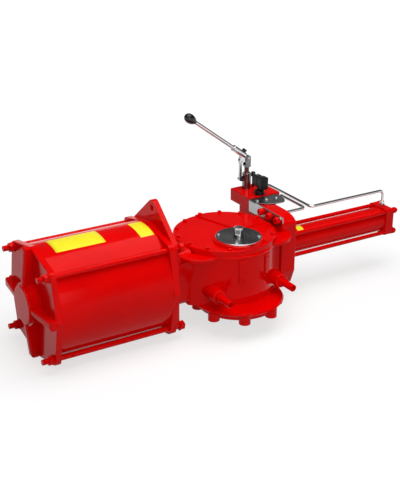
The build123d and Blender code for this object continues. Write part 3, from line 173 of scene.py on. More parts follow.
class ActuatorFasteners(PropertyGroup):
    """Sizes of nuts and screws."""
    stud_nut: FloatProperty(
        name="Stud nut", description="Across flats of the cylinder's nuts",
        default=27 * MM, unit="LENGTH", subtype="DISTANCE")
    thread_pitch: FloatProperty(
        name="Thread pitch", description="Pitch of the cylinder's studs",
        default=2.5 * MM, unit="LENGTH", subtype="DISTANCE")
    cover_screw: FloatProperty(
        name="Cover screw", description="Across flats of the cover's screws",
        default=13 * MM, unit="LENGTH", subtype="DISTANCE")
    chamfer: FloatProperty(
        name="Chamfer", description="Slope of the chamfer on nuts and heads",
        default=math.radians(30), unit="ROTATION", subtype="ANGLE")


class ActuatorLabels(PropertyGroup):
    """Sizes of the plain labels on the cylinders."""
    film: FloatProperty(
        name="Film", description="Thickness of the label's film",
        default=0.25 * MM, unit="LENGTH", subtype="DISTANCE")
    corner: FloatProperty(
        name="Corner", description="Radius of the label's corners",
        default=2.5 * MM, unit="LENGTH", subtype="DISTANCE")


class ActuatorStage(PropertyGroup):
    """Camera, lamps and floor."""
    lens: FloatProperty(
        name="Lens", description="Focal length", default=77.62, unit="CAMERA")
    top_light: FloatProperty(
        name="Top lamp", description="Power of the lamp overhead", default=48.0, unit="POWER")
    front_light: FloatProperty(
        name="Front lamp", description="Power of the lamp in front", default=18.0, unit="POWER")
    side_light: FloatProperty(
        name="Side lamp", description="Power of the lamp at the left front", default=5.0,
        unit="POWER")


# ---- material helpers
NOISE_RANGE = (0.3, 0.7)  # most of a noise texture's values lie between these


def linear(hex_colour):
    """Scene-linear RGBA of an sRGB hex colour."""
    c = np.array([int(hex_colour[i:i + 2], 16) / 255 for i in (0, 2, 4)])
    c = np.where(c <= 0.04045, c / 12.92, ((c + 0.055) / 1.055) ** 2.4)
    return (*c.tolist(), 1.0)


def shade(hex_colour, share):
    """The hex colour with each channel multiplied by a share."""
    parts = [min(255, round(int(hex_colour[i:i + 2], 16) * share)) for i in (0, 2, 4)]
    return "".join(f"{p:02X}" for p in parts)


def node(tree, kind, settings=None, inputs=None, links=None):
    """Adds one shader node with its settings, fixed inputs and links from (node, output)."""
    made = tree.nodes.new("ShaderNode" + kind)
    for key, value in (settings or {}).items():
        setattr(made, key, value)
    for key, value in (inputs or {}).items():
        made.inputs[key].default_value = value
    for key, (source, output) in (links or {}).items():
        tree.links.new(source.outputs[output], made.inputs[key])
    return made


def empty_tree(owner):
    """Node tree of a material or a world, with nothing in it."""
    owner.use_nodes = True
    owner.node_tree.nodes.clear()
    return owner.node_tree


def finish(name, **fixed):
    """A new material, its tree, and its Principled shader whose fixed sockets are set."""
    made = bpy.data.materials.new(name)
    tree = empty_tree(made)
    shader = node(tree, "BsdfPrincipled", inputs={
        key.replace("_", " "): value for key, value in fixed.items()})
    node(tree, "OutputMaterial", links={"Surface": (shader, "BSDF")})
    return made, tree, shader


def wire(tree, shader, colour, rough, normal):
    """Links a colour, a roughness range and a bump to the shader."""
    tree.links.new(colour.outputs["Color"], shader.inputs["Base Color"])
    tree.links.new(rough.outputs["Result"], shader.inputs["Roughness"])
    tree.links.new(normal.outputs["Normal"], shader.inputs["Normal"])


def texture(tree, kind, waves, inputs):
    """Texture over the object's coordinates, times waves, in cycles per metre."""
    where = node(tree, "TexCoord")
    place = node(tree, "Mapping", inputs={"Scale": waves}, links={"Vector": (where, "Object")})
    return node(tree, kind, inputs=inputs, links={"Vector": (place, "Vector")})


def noise(tree, detail, waves=(1, 1, 1), scale=1.0, **more):
    """Noise texture with that many octaves."""
    return texture(tree, "TexNoise", waves, {"Scale": scale, "Detail": detail, **more})


def remap(tree, source, values, results=(0, 1)):
    """Map Range of (node, output) from one pair of values to another."""
    ends = zip(("From Min", "From Max", "To Min", "To Max"), (*values, *results))
    return node(tree, "MapRange", inputs=dict(ends), links={"Value": source})


def vary(tree, source, low, high):
    """Range from low to high that follows a noise texture."""
    return remap(tree, (source, "Fac"), NOISE_RANGE, (low, high))


def tint(tree, source, dark, light):
    """Ramp between two hex colours that follows a noise texture."""
    ramp = node(tree, "ValToRGB", links={"Fac": (source, "Fac")})
    for end, position, colour in zip(ramp.color_ramp.elements, NOISE_RANGE, (dark, light)):
        end.position = position
        end.color = linear(colour)
    return ramp


def emboss(tree, strength, depth, height, under=None):
    """Bump of a depth in mm from (node, output), over the normal of another node."""
    links = {"Height": height}
    if under:
        links["Normal"] = (under, "Normal")
    return node(tree, "Bump", inputs={"Strength": strength, "Distance": depth * MM}, links=links)


def soft_edge(tree, radius):
    """Bevel node that rounds edges in the shading, by a radius in metres."""
    return node(tree, "Bevel", settings={"samples": 4}, inputs={"Radius": radius})


# ---- finishes
def enamel(name, grain_depth, peel_depth, edge):
    """Gloss alkyd enamel sprayed on metal.

    The film rounds every edge a little, lies in a fine orange peel, and over a sand casting it
    follows a soft grain. Its colour sits a shade deeper where the film is thick.
    """
    paint = bpy.context.scene.actuator_paint
    made, tree, shader = finish(name, IOR=1.5, Specular_IOR_Level=0.07)
    film = noise(tree, 3.0, scale=9.0)
    # orange peel waves are 3 mm across, drawn at 4 mm so that they show
    peel = noise(tree, 1.0, (250, 250, 250))
    rounded = soft_edge(tree, edge * MM if edge else paint.edge)
    bump = emboss(tree, 1.0, peel_depth, (peel, "Fac"), rounded)
    if grain_depth:
        sand = noise(tree, 4.0, (1 / paint.cast_grain,) * 3, Roughness=0.6)
        bump = emboss(tree, 1.0, grain_depth, (sand, "Fac"), bump)
    wire(tree, shader, tint(tree, film, shade(paint.red, 0.965), shade(paint.red, 1.02)),
         vary(tree, film, paint.gloss * 0.85, paint.gloss * 1.2), bump)
    return made


def turned_stainless(name):
    """Stainless plate faced on a lathe.

    The tool leaves fine rings round the stem's axis, which pull the reflections into bright
    sectors. The face is painted a dark grey as shade and the rim a light grey as a painted
    highlight. Rings are 0.3 mm apart, drawn at 1.2 mm so that they show.
    """
    made, tree, shader = finish(name, Metallic=1.0, Anisotropic=0.6)
    where = node(tree, "TexCoord")
    flat = node(tree, "VectorMath", settings={"operation": "MULTIPLY"},
                inputs={1: (1, 1, 0)}, links={0: (where, "Object")})
    radius = node(tree, "VectorMath", settings={"operation": "LENGTH"}, links={0: (flat, "Vector")})
    rings = node(tree, "TexNoise", settings={"noise_dimensions": "1D"},
                 inputs={"Scale": 1 / (1.2 * MM), "Detail": 3.0}, links={"W": (radius, "Value")})
    # painted highlight: the chamfer and rim get a much lighter grey than the face of the same
    # steel, whose darker greys are painted shade
    rim = remap(tree, (radius, "Value"), (PLATE_FACE_R * MM, (PLATE_FACE_R + 0.4) * MM))
    face = tint(tree, rings, "7C7E80", "98999B")
    colour = node(tree, "MixRGB", inputs={2: linear("D2D4D6")},
                  links={0: (rim, "Result"), 1: (face, "Color")})
    around = node(tree, "Tangent", settings={"direction_type": "RADIAL", "axis": "Z"})
    tree.links.new(around.outputs["Tangent"], shader.inputs["Tangent"])
    wire(tree, shader, colour, vary(tree, rings, 0.16, 0.3),
         emboss(tree, 0.6, 0.02, (rings, "Fac")))
    return made


def drawn_metal(name, dark, light, rough, waves, depth):
    """Bare metal with fine lines along one direction, such as a ground bar or brushed sheet.

    waves is in cycles per metre, high across the lines and low along them.
    """
    made, tree, shader = finish(name, Metallic=1.0)
    lines = noise(tree, 4.0, waves)
    smudge = noise(tree, 2.0, scale=30.0)
    wire(tree, shader, tint(tree, smudge, dark, light),
         vary(tree, lines, rough * 0.75, rough * 1.3),
         emboss(tree, 0.7, depth, (lines, "Fac"), soft_edge(tree, 0.4 * MM)))
    return made


def moulded(name, dark, light, rough, grain, depth, gloss):
    """Moulded plastic or rubber: an even colour with the mould's spark-eroded texture."""
    made, tree, shader = finish(name, IOR=1.49, Specular_IOR_Level=gloss)
    skin = texture(tree, "TexVoronoi", (1 / (grain * MM),) * 3, {"Scale": 1.0})
    cloud = noise(tree, 2.0, scale=40.0)
    wire(tree, shader, tint(tree, cloud, dark, light),
         vary(tree, cloud, rough * 0.85, rough * 1.15),
         emboss(tree, 0.5, depth, (skin, "Distance")))
    return made


def rough_iron(name):
    """Grey cast iron, machined in places: dark, dull, with a coarse skin."""
    made, tree, shader = finish(name, Metallic=1.0)
    skin = noise(tree, 6.0, (400, 400, 400))
    wire(tree, shader, tint(tree, skin, "4A4B4D", "707173"), vary(tree, skin, 0.42, 0.6),
         emboss(tree, 0.6, 0.15, (skin, "Fac")))
    return made


def vinyl(name):
    """Calendered yellow vinyl film: satin, a little uneven, with the roller's fine grain."""
    paint = bpy.context.scene.actuator_paint
    made, tree, shader = finish(name, IOR=1.52, Specular_IOR_Level=0.35)
    cloud = noise(tree, 3.0, scale=60.0)
    # the roller's grain is 0.5 mm, drawn at 1.5 mm so that it shows
    grain = noise(tree, 2.0, (660, 660, 660))
    wire(tree, shader, tint(tree, cloud, shade(paint.yellow, 0.97), paint.yellow),
         vary(tree, cloud, 0.34, 0.46), emboss(tree, 0.4, 0.04, (grain, "Fac")))
    return made


# what each maker is given after the finish's name; depths, edges and grains are in mm
MAKERS = {
    # grain of the casting, orange peel, and rounding of edges, where 0 takes the panel's value
    enamel: {
        "enamel on castings": (0.012, 0.012, 0.0),
        "enamel on rolled tube": (0.0, 0.006, 0.5),
        "enamel on steel": (0.0, 0.01, 0.7),
    },
    turned_stainless: {"faced stainless steel": ()},
    # dark and light colour, roughness, lines per metre along x, y and z, and their depth
    drawn_metal: {
        # chrome plate is bluish white and nearly mirror smooth
        "hard chrome": ("C8CACC", "D6D8DA", 0.09, (500, 500, 500), 0.004),
        # a ground bar keeps rings from the wheel and looks a little warmer than chrome
        "ground bar steel": ("A4A5A6", "B8B9BA", 0.22, (60, 900, 900), 0.01),
        # brushed sheet: lines along the sheet's long side, 0.2 mm apart, drawn at 1 mm
        "brushed stainless sheet": ("A2A3A4", "B4B5B6", 0.26, (1000, 25, 1000), 0.02),
        # drawn tube keeps faint lines of the die along it
        "bright drawn tube": ("C4C5C6", "D2D3D4", 0.14, (40, 700, 700), 0.006),
        # zinc plate: bright, slightly bluish, with a soft crystal bloom
        "zinc plate": ("BCC0C4", "D4D8DC", 0.3, (800, 800, 800), 0.02),
        # steel darkened to a slightly reddish grey under a smooth skin: painted shade for the dark
        # red reflections on the pump's barrel and plunger
        "burnished steel": ("6E6C6C", "807E7E", 0.15, (500, 500, 60), 0.006),
        # bronze bushes, bored and faced
        "tin bronze": ("A8772F", "C0904A", 0.28, (700, 700, 90), 0.02),
    },
    rough_iron: {"grey cast iron": ()},
    # dark and light colour, roughness, grain of the mould and its depth, specular level
    moulded: {
        "nitrile rubber": ("101011", "1A1A1B", 0.62, 1.2, 0.03, 0.5),
        "phenolic grip": ("0E0E0F", "161617", 0.2, 3.0, 0.01, 0.5),
        "glass-filled nylon": ("0A0A0B", "111112", 0.36, 1.1, 0.06, 0.2),
    },
    vinyl: {"yellow label vinyl": ()},
}


def material(name):
    """One of the finishes, made the first time it is asked for."""
    if name in bpy.data.materials:
        return bpy.data.materials[name]
    maker = next(m for m, finishes in MAKERS.items() if name in finishes)
    return maker(name, *MAKERS[maker][name])


FINISHES = {
    "enamel on castings": (
        "yoke_housing housing_cover outer_end_cap inner_end_flange override_adapter "
        "override_inner_head override_end_block manifold_block"),
    "enamel on rolled tube": "cylinder_tube override_tube",
    "enamel on steel": (
        "cylinder_tie_rods tie_rod_nuts lifting_plate cover_screws override_tie_rods "
        "override_tie_nuts stop_sleeves stop_screws manifold_plugs"),
    "faced stainless steel": "top_plate",
    "hard chrome": (
        "indicator_stub pump_gland lever_socket lever_bar piston_rod override_rod"),
    # the pump's plunger and barrel get a darkened steel, painted shade for their dark reflections
    "burnished steel": "pump_plunger pump_barrel",
    "ground bar steel": (
        "guide_bar drive_pin rollers piston_nut lever_pin link_top_pin link_foot_pin"),
    "brushed stainless sheet": "mounting_bracket",
    "bright drawn tube": "pressure_tube_far pressure_tube_near tube_fittings",
    "zinc plate": "top_plate_screws bracket_screws pump_link",
    "grey cast iron": "scotch_yoke guide_block piston override_piston",
    "tin bronze": "lower_yoke_bush upper_yoke_bush rod_bush",
    "nitrile rubber": "piston_seal override_piston_seal tube_seals",
    "phenolic grip": "lever_grip lever_clamp selector_knob",
    "glass-filled nylon": "coil_housing coil_collar",
}


# ---- surfaces
def turn_to(axis):
    """Rows are the across, up and along directions of an axis, right handed."""
    along = np.array(axis, float) / np.linalg.norm(axis)
    guide = np.array([0.0, 0.0, 1.0]) if abs(along[2]) < 0.9 else np.array([1.0, 0.0, 0.0])
    across = np.cross(guide, along)
    across /= np.linalg.norm(across)
    return np.array([across, np.cross(along, across), along])


def linked(made):
    """The object, linked to the scene."""
    bpy.context.scene.collection.objects.link(made)
    return made


def surface(name, grid, places, axes, finish_name, body="actuator", bevel=0.0, replaces=(),
            loop=False):
    """One mesh of the same surface at several places.

    grid holds points P(u, v) in millimetres, its rows along u and its columns round the axis, so
    the columns always close on themselves and the rows do if loop is set. Each point goes to
    place + P turned so that +Z lies along its axis, or along the one axis that is given for all.
    Rows that shrink to a point are merged.
    """
    rows, columns = grid.shape[:2]
    flat = grid.reshape(-1, 3)
    turns = np.array([turn_to(a) for a in np.broadcast_to(axes, (len(places), 3))])
    points = np.einsum("nk,pkc->pnc", flat, turns) + np.asarray(places, float)[:, None, :]
    u = np.arange(rows if loop else rows - 1)[:, None]
    v = np.arange(columns)[None, :]
    a = u * columns + v
    b = u * columns + (v + 1) % columns
    c = ((u + 1) % rows) * columns + (v + 1) % columns
    d = ((u + 1) % rows) * columns + v
    faces = np.stack([a, b, c, d], -1).reshape(-1, 4)
    faces = (faces[None] + (np.arange(len(points)) * len(flat))[:, None, None]).reshape(-1, 4)
    mesh = bpy.data.meshes.new(name)
    mesh.from_pydata((points.reshape(-1, 3) * MM).tolist(), [], faces.tolist())
    return dress(name, mesh, finish_name, body, bevel, replaces)


def dress(name, mesh, finish_name, body, bevel=0.0, replaces=()):
    """Closes the mesh, turns its faces outwards, and gives it its finish and its body."""
    work = bmesh.new()
    work.from_mesh(mesh)
    bmesh.ops.remove_doubles(work, verts=work.verts, dist=2e-6)
    bmesh.ops.dissolve_degenerate(work, dist=1e-6, edges=work.edges)
    bmesh.ops.recalc_face_normals(work, faces=work.faces)
    work.to_mesh(mesh)
    work.free()
    mesh.shade_smooth()
    mesh.set_sharp_from_angle(angle=math.radians(32))
    made = linked(bpy.data.objects.new(name, mesh))
    mesh.materials.append(material(finish_name))
    if bevel:
        round_edges(made, bevel)
    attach(made, body)
    if replaces:
        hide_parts(*replaces)
    return made


def ring_angles(count=48):
    """Angles of the columns round an axis."""
    return np.arange(count) * TAU / count


def stack(rows, v=None):
    """Grid of rows (r, h), each a number or one value per column: P = (r cos v, r sin v, h)."""
    v = ring_angles() if v is None else v
    return np.stack([np.stack([r * np.cos(v), r * np.sin(v), h + 0 * v], -1) for r, h in rows])


def turned(profile, count=48):
    """Surface of revolution of the profile's (r, h)."""
    return stack(profile, ring_angles(count))


def hexagon_radius(flats, v):
    """Radius of a hexagon at angle v: half its flats over the cosine to the nearest flat."""
    return flats / 2 / np.cos((v + TAU / 12) % (TAU / 6) - TAU / 12)


def hex_rows(flats, low, high, both=True):
    """Rows of a hexagonal prism whose corners a cone chamfers, by the panel's slope.

    The side's rows have the hexagon's radius R(v), and their height gives way by
    (R(v) - flats/2) tan(slope), the cone's depth there.
    """
    r = hexagon_radius(flats, ring_angles())
    dip = (r - flats / 2) * math.tan(bpy.context.scene.actuator_fasteners.chamfer)
    inner = flats / 2 * 0.96
    base = [(inner, low), (r, low + dip)] if both else [(r, low)]
    return base + [(r, high - dip), (inner, high)]


def threaded_bar(radius, pitch, depth, heights, threads, count=32):
    """Bar whose radius carries a helical thread in the given stretches of height.

    r = R - d m(h) |2 frac(h / pitch - v / 2 pi) - 1|, where m is 1 in a threaded stretch and 0
    outside, and both ends narrow by a 45 degree cone one thread deep.
    """
    v = ring_angles(count)
    h = np.asarray(heights, float)[:, None]
    inside = np.zeros_like(h)
    for low, high in threads:
        inside = np.maximum(inside, ((h >= low) & (h <= high)).astype(float))
    wave = np.abs(2 * ((h / pitch - v / TAU) % 1.0) - 1)
    cone = np.minimum(np.abs(h - h[0]), np.abs(h[-1] - h)) + radius - 1.2 * depth
    r = np.minimum(radius - depth * inside * wave, cone)
    return capped(stack(zip(r, h), v), float(h[0, 0]), float(h[-1, 0]))


def dense(low, high, pitch, per_pitch=7):
    """Heights close enough together to show a thread."""
    return np.linspace(low, high, int((high - low) / pitch * per_pitch) + 1)


def capped(grid, low, high):
    """The grid with a pole row at each end, at the given heights."""
    low, high = (np.tile([0.0, 0.0, h], (1, grid.shape[1], 1)) for h in (low, high))
    return np.concatenate([low, grid, high])


def points_on(x, pairs):
    """Places with the given x for each (y, z) pair."""
    return np.column_stack([np.full(len(pairs), x), pairs])


def sheet(name, grid, away, thickness, finish_name, bevel=0.0, replaces=()):
    """Open grid of points P(u, v) in millimetres, thickened towards the side that away names."""
    rows, columns = grid.shape[:2]
    i = (np.arange(rows - 1)[:, None] * columns + np.arange(columns - 1)[None, :]).ravel()
    faces = np.stack([i, i + 1, i + columns + 1, i + columns], -1)
    mesh = bpy.data.meshes.new(name)
    mesh.from_pydata((grid.reshape(-1, 3) * MM).tolist(), [], faces.tolist())
    made = dress(name, mesh, finish_name, "actuator", replaces=replaces)
    if made.data.polygons[0].normal.dot(Vector(away)) < 0:
        made.data.flip_normals()
    wall = made.modifiers.new("wall", "SOLIDIFY")
    wall.thickness = thickness * MM
    wall.offset = 1.0
    if bevel:
        round_edges(made, bevel)
    return made


def round_edges(made, width):
    """Bevel on the sharp edges, width in millimetres."""
    rounding = made.modifiers.new("edges", "BEVEL")
    rounding.width = width * MM
    rounding.segments = 2
    rounding.limit_method = "ANGLE"
    rounding.angle_limit = math.radians(40)


def corner_reach(v, half_v, half_u, corner):
    """Half width at v of a rectangle with round corners, which the corner's circle shortens."""
    over = np.clip(np.abs(v) - (half_v - corner), 0, corner)
    return half_u - corner + np.sqrt(np.maximum(corner ** 2 - over ** 2, 0))


def quarter_round(share):
    """1 - sqrt(1 - s^2): the rise of a quarter circle as the share s goes from 0 to 1."""
    return 1 - np.sqrt(1 - np.clip(share, 0, 1) ** 2)


def corner_steps(half, corner, count=30):
    """Values from -half to half that lie closer together in the round corners."""
    bend = half - corner + corner * np.sin(np.linspace(0, QUARTER, 6))
    middle = np.linspace(-half + corner, half - corner, count)[1:-1]
    return np.concatenate([-bend[::-1], middle, bend])


def block(half_x, half_y, low, high, corner, edge):
    """Upright block with round corners and edges.

    P(u, v) runs round a rectangle with round corners at height h(u), drawn in by
    edge (1 - sin t) where the top and bottom edges round over.
    """
    turn = np.linspace(0, QUARTER, 6)
    quarter = np.column_stack([np.cos(turn), np.sin(turn)])
    t = np.linspace(0, QUARTER, 4)
    insets = edge * (1 - np.sin(t))
    rise = edge * (1 - np.cos(t))
    levels = [*zip(insets, low + rise), *zip(insets[::-1], high - rise[::-1])]
    rings = []
    for inset, height in levels:
        r = corner - inset * 0.5
        sides = []
        for sx, sy, arc in ((1, 1, quarter), (-1, 1, quarter[::-1]), (-1, -1, quarter),
                            (1, -1, quarter[::-1])):
            sides.append(np.column_stack([sx * (half_x - inset - r + r * arc[:, 0]),
                                          sy * (half_y - inset - r + r * arc[:, 1])]))
        ring = np.concatenate(sides)
        rings.append(np.column_stack([ring, np.full(len(ring), height)]))
    return capped(np.stack(rings), low, high)


# ---- operators
def part_boxes(name):
    """Low and high corners, in mm, of the separate pieces in a CAD node."""
    work = bmesh.new()
    work.from_mesh(NODES[name].data)
    bmesh.ops.remove_doubles(work, verts=work.verts, dist=1e-6)
    seen, boxes = set(), []
    for first in work.verts:
        if first in seen:
            continue
        seen.add(first)
        queue, piece = [first], []
        while queue:
            vert = queue.pop()
            piece.append(vert.co[:])
            for edge in vert.link_edges:
                other = edge.other_vert(vert)
                if other not in seen:
                    seen.add(other)
                    queue.append(other)
        piece = np.array(piece) / MM
        boxes.append((piece.min(0), piece.max(0)))
    work.free()
    return boxes


def socket_screw(head_r, head, socket, shank_r, shank, dome=0.0):
    """Button or cap screw: rounded head with a hexagonal recess and a short shank below."""
    hexagon = hexagon_radius(socket, ring_angles())
    edge = dome or head * 0.45
    rows = [(shank_r, -shank), (shank_r, 0.0), (head_r - 0.15, 0.0), (head_r, 0.2)]
    rows += [(head_r - edge + edge * math.cos(a), head - edge + edge * math.sin(a))
             for a in np.linspace(0, QUARTER, 6)]
    rows += [(socket * 0.62, head), (hexagon, head - 0.25), (hexagon, head * 0.35)]
    return capped(stack(rows), -shank, head * 0.25)


def on_case(x, z):
    """Point in mm, and normal, where a ray from the front meets the gearcase."""
    start = Vector((x, CASE_FRONT, z)) * MM
    hit, spot, normal, _ = NODES["yoke_housing"].ray_cast(start, Vector((0, 1, 0)))
    if not hit:
        raise RuntimeError(f"no wall behind {x}, {z}")
    return np.array(spot) / MM, np.array(normal)


class ACTUATOR_OT_finishes(Operator):
    """Gives every CAD node its finish"""
    bl_idname = "actuator.finishes"
    bl_label = "Finishes"

    def execute(self, context):
        named = {n: f for f, nodes in FINISHES.items() for n in nodes.split()}
        missing = set(NODES) - set(named)
        if missing:
            raise RuntimeError(f"no finish for {sorted(missing)}")
        for name, part in NODES.items():
            part.data.materials.clear()
            part.data.materials.append(material(named[name]))
        return {"FINISHED"}


class ACTUATOR_OT_stud_nuts(Operator):
    """Chamfered nuts, washers and threaded studs of the air cylinder"""
    bl_idname = "actuator.stud_nuts"
    bl_label = "Stud nuts"

    def execute(self, context):
        sizes = context.scene.actuator_fasteners
        bore = STUD_R + SLIP
        nut = hex_rows(sizes.stud_nut / MM, WASHER, NUT_TOP)
        nut += [(STUD_R + 1.2, NUT_TOP), (bore, NUT_TOP), (bore, WASHER)]
        washer = turned([(9.2, 0.0), (15.6, 0.0), (16.0, 0.4), (16.0, 2.6), (15.6, WASHER),
                         (9.2, WASHER)], 40)
        ends = np.concatenate([points_on(OUTER_SEAT, STUDS), points_on(INNER_SEAT, STUDS)])
        ways = [(-1, 0, 0)] * 4 + [(1, 0, 0)] * 4
        surface("stud_nuts", stack(nut), ends, ways, "enamel on steel", bevel=0.35,
                replaces=["tie_rod_nuts"], loop=True)
        surface("stud_washers", washer, ends, ways, "enamel on steel", loop=True)
        pitch = sizes.thread_pitch / MM
        far, near = STUD_ENDS
        # the plain middle needs one row, and stays straight up to the inner flange
        heights = np.concatenate([dense(far, OUTER_SEAT, pitch), [INNER_SEAT - 40],
                                  dense(INNER_SEAT, near, pitch)])
        studs = threaded_bar(STUD_R, pitch, THREAD_DEPTH, heights,
                             [(far, OUTER_SEAT), (INNER_SEAT, near)])
        surface("cylinder_studs", studs, points_on(0.0, STUDS), (1, 0, 0), "enamel on steel",
                replaces=["cylinder_tie_rods"])
        return {"FINISHED"}


class ACTUATOR_OT_cover_screws(Operator):
    """Hexagon-head screws round the cover, with washer faces"""
    bl_idname = "actuator.cover_screws"
    bl_label = "Cover screws"

    def execute(self, context):
        flats = context.scene.actuator_fasteners.cover_screw / MM
        seats = np.array([(*(low + high)[:2] / 2, high[2] - SCREW_HEAD)
                          for low, high in part_boxes("cover_screws")])
        rows = [(4.0, -SCREW_SHANK), (4.0, 0.0), (flats * 0.49, 0.0), (flats * 0.49, 0.5)]
        rows += hex_rows(flats, 0.5, SCREW_HEAD, both=False)
        rows += [(flats * 0.33, SCREW_HEAD), (flats * 0.30, SCREW_HEAD - 0.3)]
        surface("cover_hex_screws", capped(stack(rows), -SCREW_SHANK, SCREW_HEAD - 0.3), seats,
                (0, 0, 1), "enamel on steel", bevel=0.25, replaces=["cover_screws"])
        return {"FINISHED"}


class ACTUATOR_OT_socket_screws(Operator):
    """Button screws of the top plate and of the bracket"""
    bl_idname = "actuator.socket_screws"
    bl_label = "Socket screws"

    def execute(self, context):
        turns = np.radians(90 * np.arange(4) + PLATE_SCREWS_TURN)
        plate = np.column_stack([PLATE_SCREWS_R * np.cos(turns), PLATE_SCREWS_R * np.sin(turns),
                                 np.full(4, PLATE_TOP)])
        surface("plate_button_screws", socket_screw(6.5, 4, 5, 3.9, 12, 1.9), plate,
                (0, 0, 1), "zinc plate", replaces=["top_plate_screws"])
        surface("bracket_button_screws", socket_screw(6, 4, 4.5, 2.5, 0.05, 1.9),
                [*SHELF_SCREWS, LEG_SCREW], [(0, 0, 1)] * 3 + [(-1, 0, 0)],
                "zinc plate", replaces=["bracket_screws"])
        return {"FINISHED"}


class ACTUATOR_OT_stub(Operator):
    """Position stub of the yoke, with two milled flats"""
    bl_idname = "actuator.stub"
    bl_label = "Position stub"

    def execute(self, context):
        # r(v) = min(R, flat / |cos(v - v0)|) above the shoulder, where v0 faces a flat
        v = ring_angles(144)
        flat = STUB_FLAT / np.maximum(np.abs(np.cos(v - STUB_TURN)), 1e-6)
        cut = np.minimum(STUB_R, flat)
        rows = [(STUB_R, STUB_LOW), (STUB_R, STUB_SHOULDER),
                (np.minimum(STUB_R, cut + 0.4), STUB_SHOULDER + 0.4),
                (cut, STUB_SHOULDER + 0.8), (cut, STUB_TOP - 0.8), (cut * 0.95, STUB_TOP)]
        surface("position_stub", capped(stack(rows, v), STUB_LOW, STUB_TOP), [(0, 0, 0)],
                (0, 0, 1), "hard chrome", "yoke", replaces=["indicator_stub"])
        return {"FINISHED"}


class ACTUATOR_OT_strip_screws(Operator):
    """Plates of the two strips on the round front, and a small screw at each end"""
    bl_idname = "actuator.strip_screws"
    bl_label = "Strip screws"

    def execute(self, context):
        spots = [on_case(x, z) for x, z in STRIP_SCREWS]
        surface("strip_screws", socket_screw(3.6, 3.2, 3.0, 1.8, 1.5, 0.8),
                [spot - normal * SLIP for spot, normal in spots],
                [normal for _, normal in spots], "enamel on steel")
        # each plate is a rectangle with round corners, laid on the wall along Y
        half_z, half_x, corner = 37.2, 11.6, 5.0
        v = corner_steps(half_z, corner, 12)
        reach = corner_reach(v, half_z, half_x, corner)
        for name, middle in STRIPS.items():
            grid = np.array([[on_case(middle + half * u, z)[0] for u in np.linspace(-1, 1, 9)]
                             for half, z in zip(reach, STRIP_Z + v)])
            sheet(name, grid, (0, -1, 0), 1.4, "enamel on steel", 0.3)
        return {"FINISHED"}


class ACTUATOR_OT_override_nuts(Operator):
    """Chamfered nuts and threaded ends of the override cylinder's rods"""
    bl_idname = "actuator.override_nuts"
    bl_label = "Override nuts"

    def execute(self, context):
        bore = OVER_STUD_R + SLIP
        rows = hex_rows(OVER_NUT, 0.0, 10.0)
        rows += [(9.2, 10.0), (9.2, 13.4), (8.6, 14.0), (bore, 14.0), (bore, 0.0)]
        surface("override_rod_nuts", stack(rows), points_on(OVER_SEAT, OVER_STUDS), (1, 0, 0),
                "enamel on steel", bevel=0.25, replaces=["override_tie_nuts"], loop=True)
        near, far = OVER_STUD_ENDS
        heights = np.concatenate([[near, near + 1], dense(OVER_SEAT, far, OVER_PITCH)])
        studs = threaded_bar(OVER_STUD_R, OVER_PITCH, OVER_THREAD_DEPTH, heights,
                             [(OVER_SEAT, far)])
        surface("override_studs", studs, points_on(0.0, OVER_STUDS), (1, 0, 0),
                "enamel on steel", replaces=["override_tie_rods"])
        return {"FINISHED"}


class ACTUATOR_OT_stop_sleeves(Operator):
    """Sleeves and lock nuts of the travel stops"""
    bl_idname = "actuator.stop_sleeves"
    bl_label = "Stop sleeves"

    def execute(self, context):
        nut = hex_rows(LOCK_NUT, 0.0, LOCK_NUT_TOP)
        nut += [(8.2, LOCK_NUT_TOP), (8.2, 0.0)]
        surface("stop_lock_nuts", stack(nut), STOPS, (0, -1, 0), "enamel on steel", bevel=0.35,
                replaces=["stop_sleeves"], loop=True)
        sleeve = turned([(8.25, LOCK_NUT_TOP), (11.5, LOCK_NUT_TOP), (11.5, 60.2), (11.1, 61.4),
                         (10.2, 62), (9.2, 62), (8.5, 61.6), (8.25, 60.8)])
        surface("stop_sleeve_tubes", sleeve, STOPS, (0, -1, 0), "enamel on steel", loop=True)
        return {"FINISHED"}


class ACTUATOR_OT_lever_grip(Operator):
    """Egg-shaped grip at the lever's end"""
    bl_idname = "actuator.lever_grip"
    bl_label = "Grip"

    def execute(self, context):
        # r(w) = R sqrt(1 - ((w - fat) / e)^2): two half ellipses that meet where the egg is
        # fattest, with a short neck of its own radius round the bar
        length, radius, neck, fat, rear, front = 46.0, 16.2, 7.4, 0.56, 0.585, 0.44
        w = (1 - np.cos(math.pi * np.linspace(0.0, 1.0, 37))) / 2
        side = np.where(w < fat, (w - fat) / rear, (w - fat) / front)
        r = np.maximum(radius * np.sqrt(np.maximum(1 - side ** 2, 0)),
                       np.where(w < 0.2, neck, 0.0))
        rows = np.column_stack([r, length * (w - 1)])
        rows = np.vstack([[0.0, -length - 1.0], [6.9, -length - 1.0], rows])
        rows[-1, 0] = 0.0
        way = (-math.cos(LEVER_RISE), 0, math.sin(LEVER_RISE))
        surface("lever_egg_grip", turned(rows), [PIVOT + GRIP_END * np.array(way)], way,
                "phenolic grip", "lever", replaces=["lever_grip"])
        return {"FINISHED"}


class ACTUATOR_OT_selector_knob(Operator):
    """Fluted knob of the selector on its stem"""
    bl_idname = "actuator.selector_knob"
    bl_label = "Selector knob"

    def execute(self, context):
        # r = R (1 + 0.05 cos 8v) on the sides, and a plain circle below and on top
        v = ring_angles(96)
        flute = 1 + 0.05 * np.cos(8 * v)
        rows = [(4, -37.7), (4, 0), (6.8, 0), (7.6 * flute, 0.8), (7.6 * flute, 12.0),
                (7.2 * flute, 14.2), (6.3, 15.6), (5.2, 16.0), (4.7, 15.3)]
        surface("selector_fluted_knob", capped(stack(rows, v), -37.7, 15.2), [KNOB_SEAT],
                (0, 0, 1), "phenolic grip", "knob", replaces=["selector_knob"])
        return {"FINISHED"}


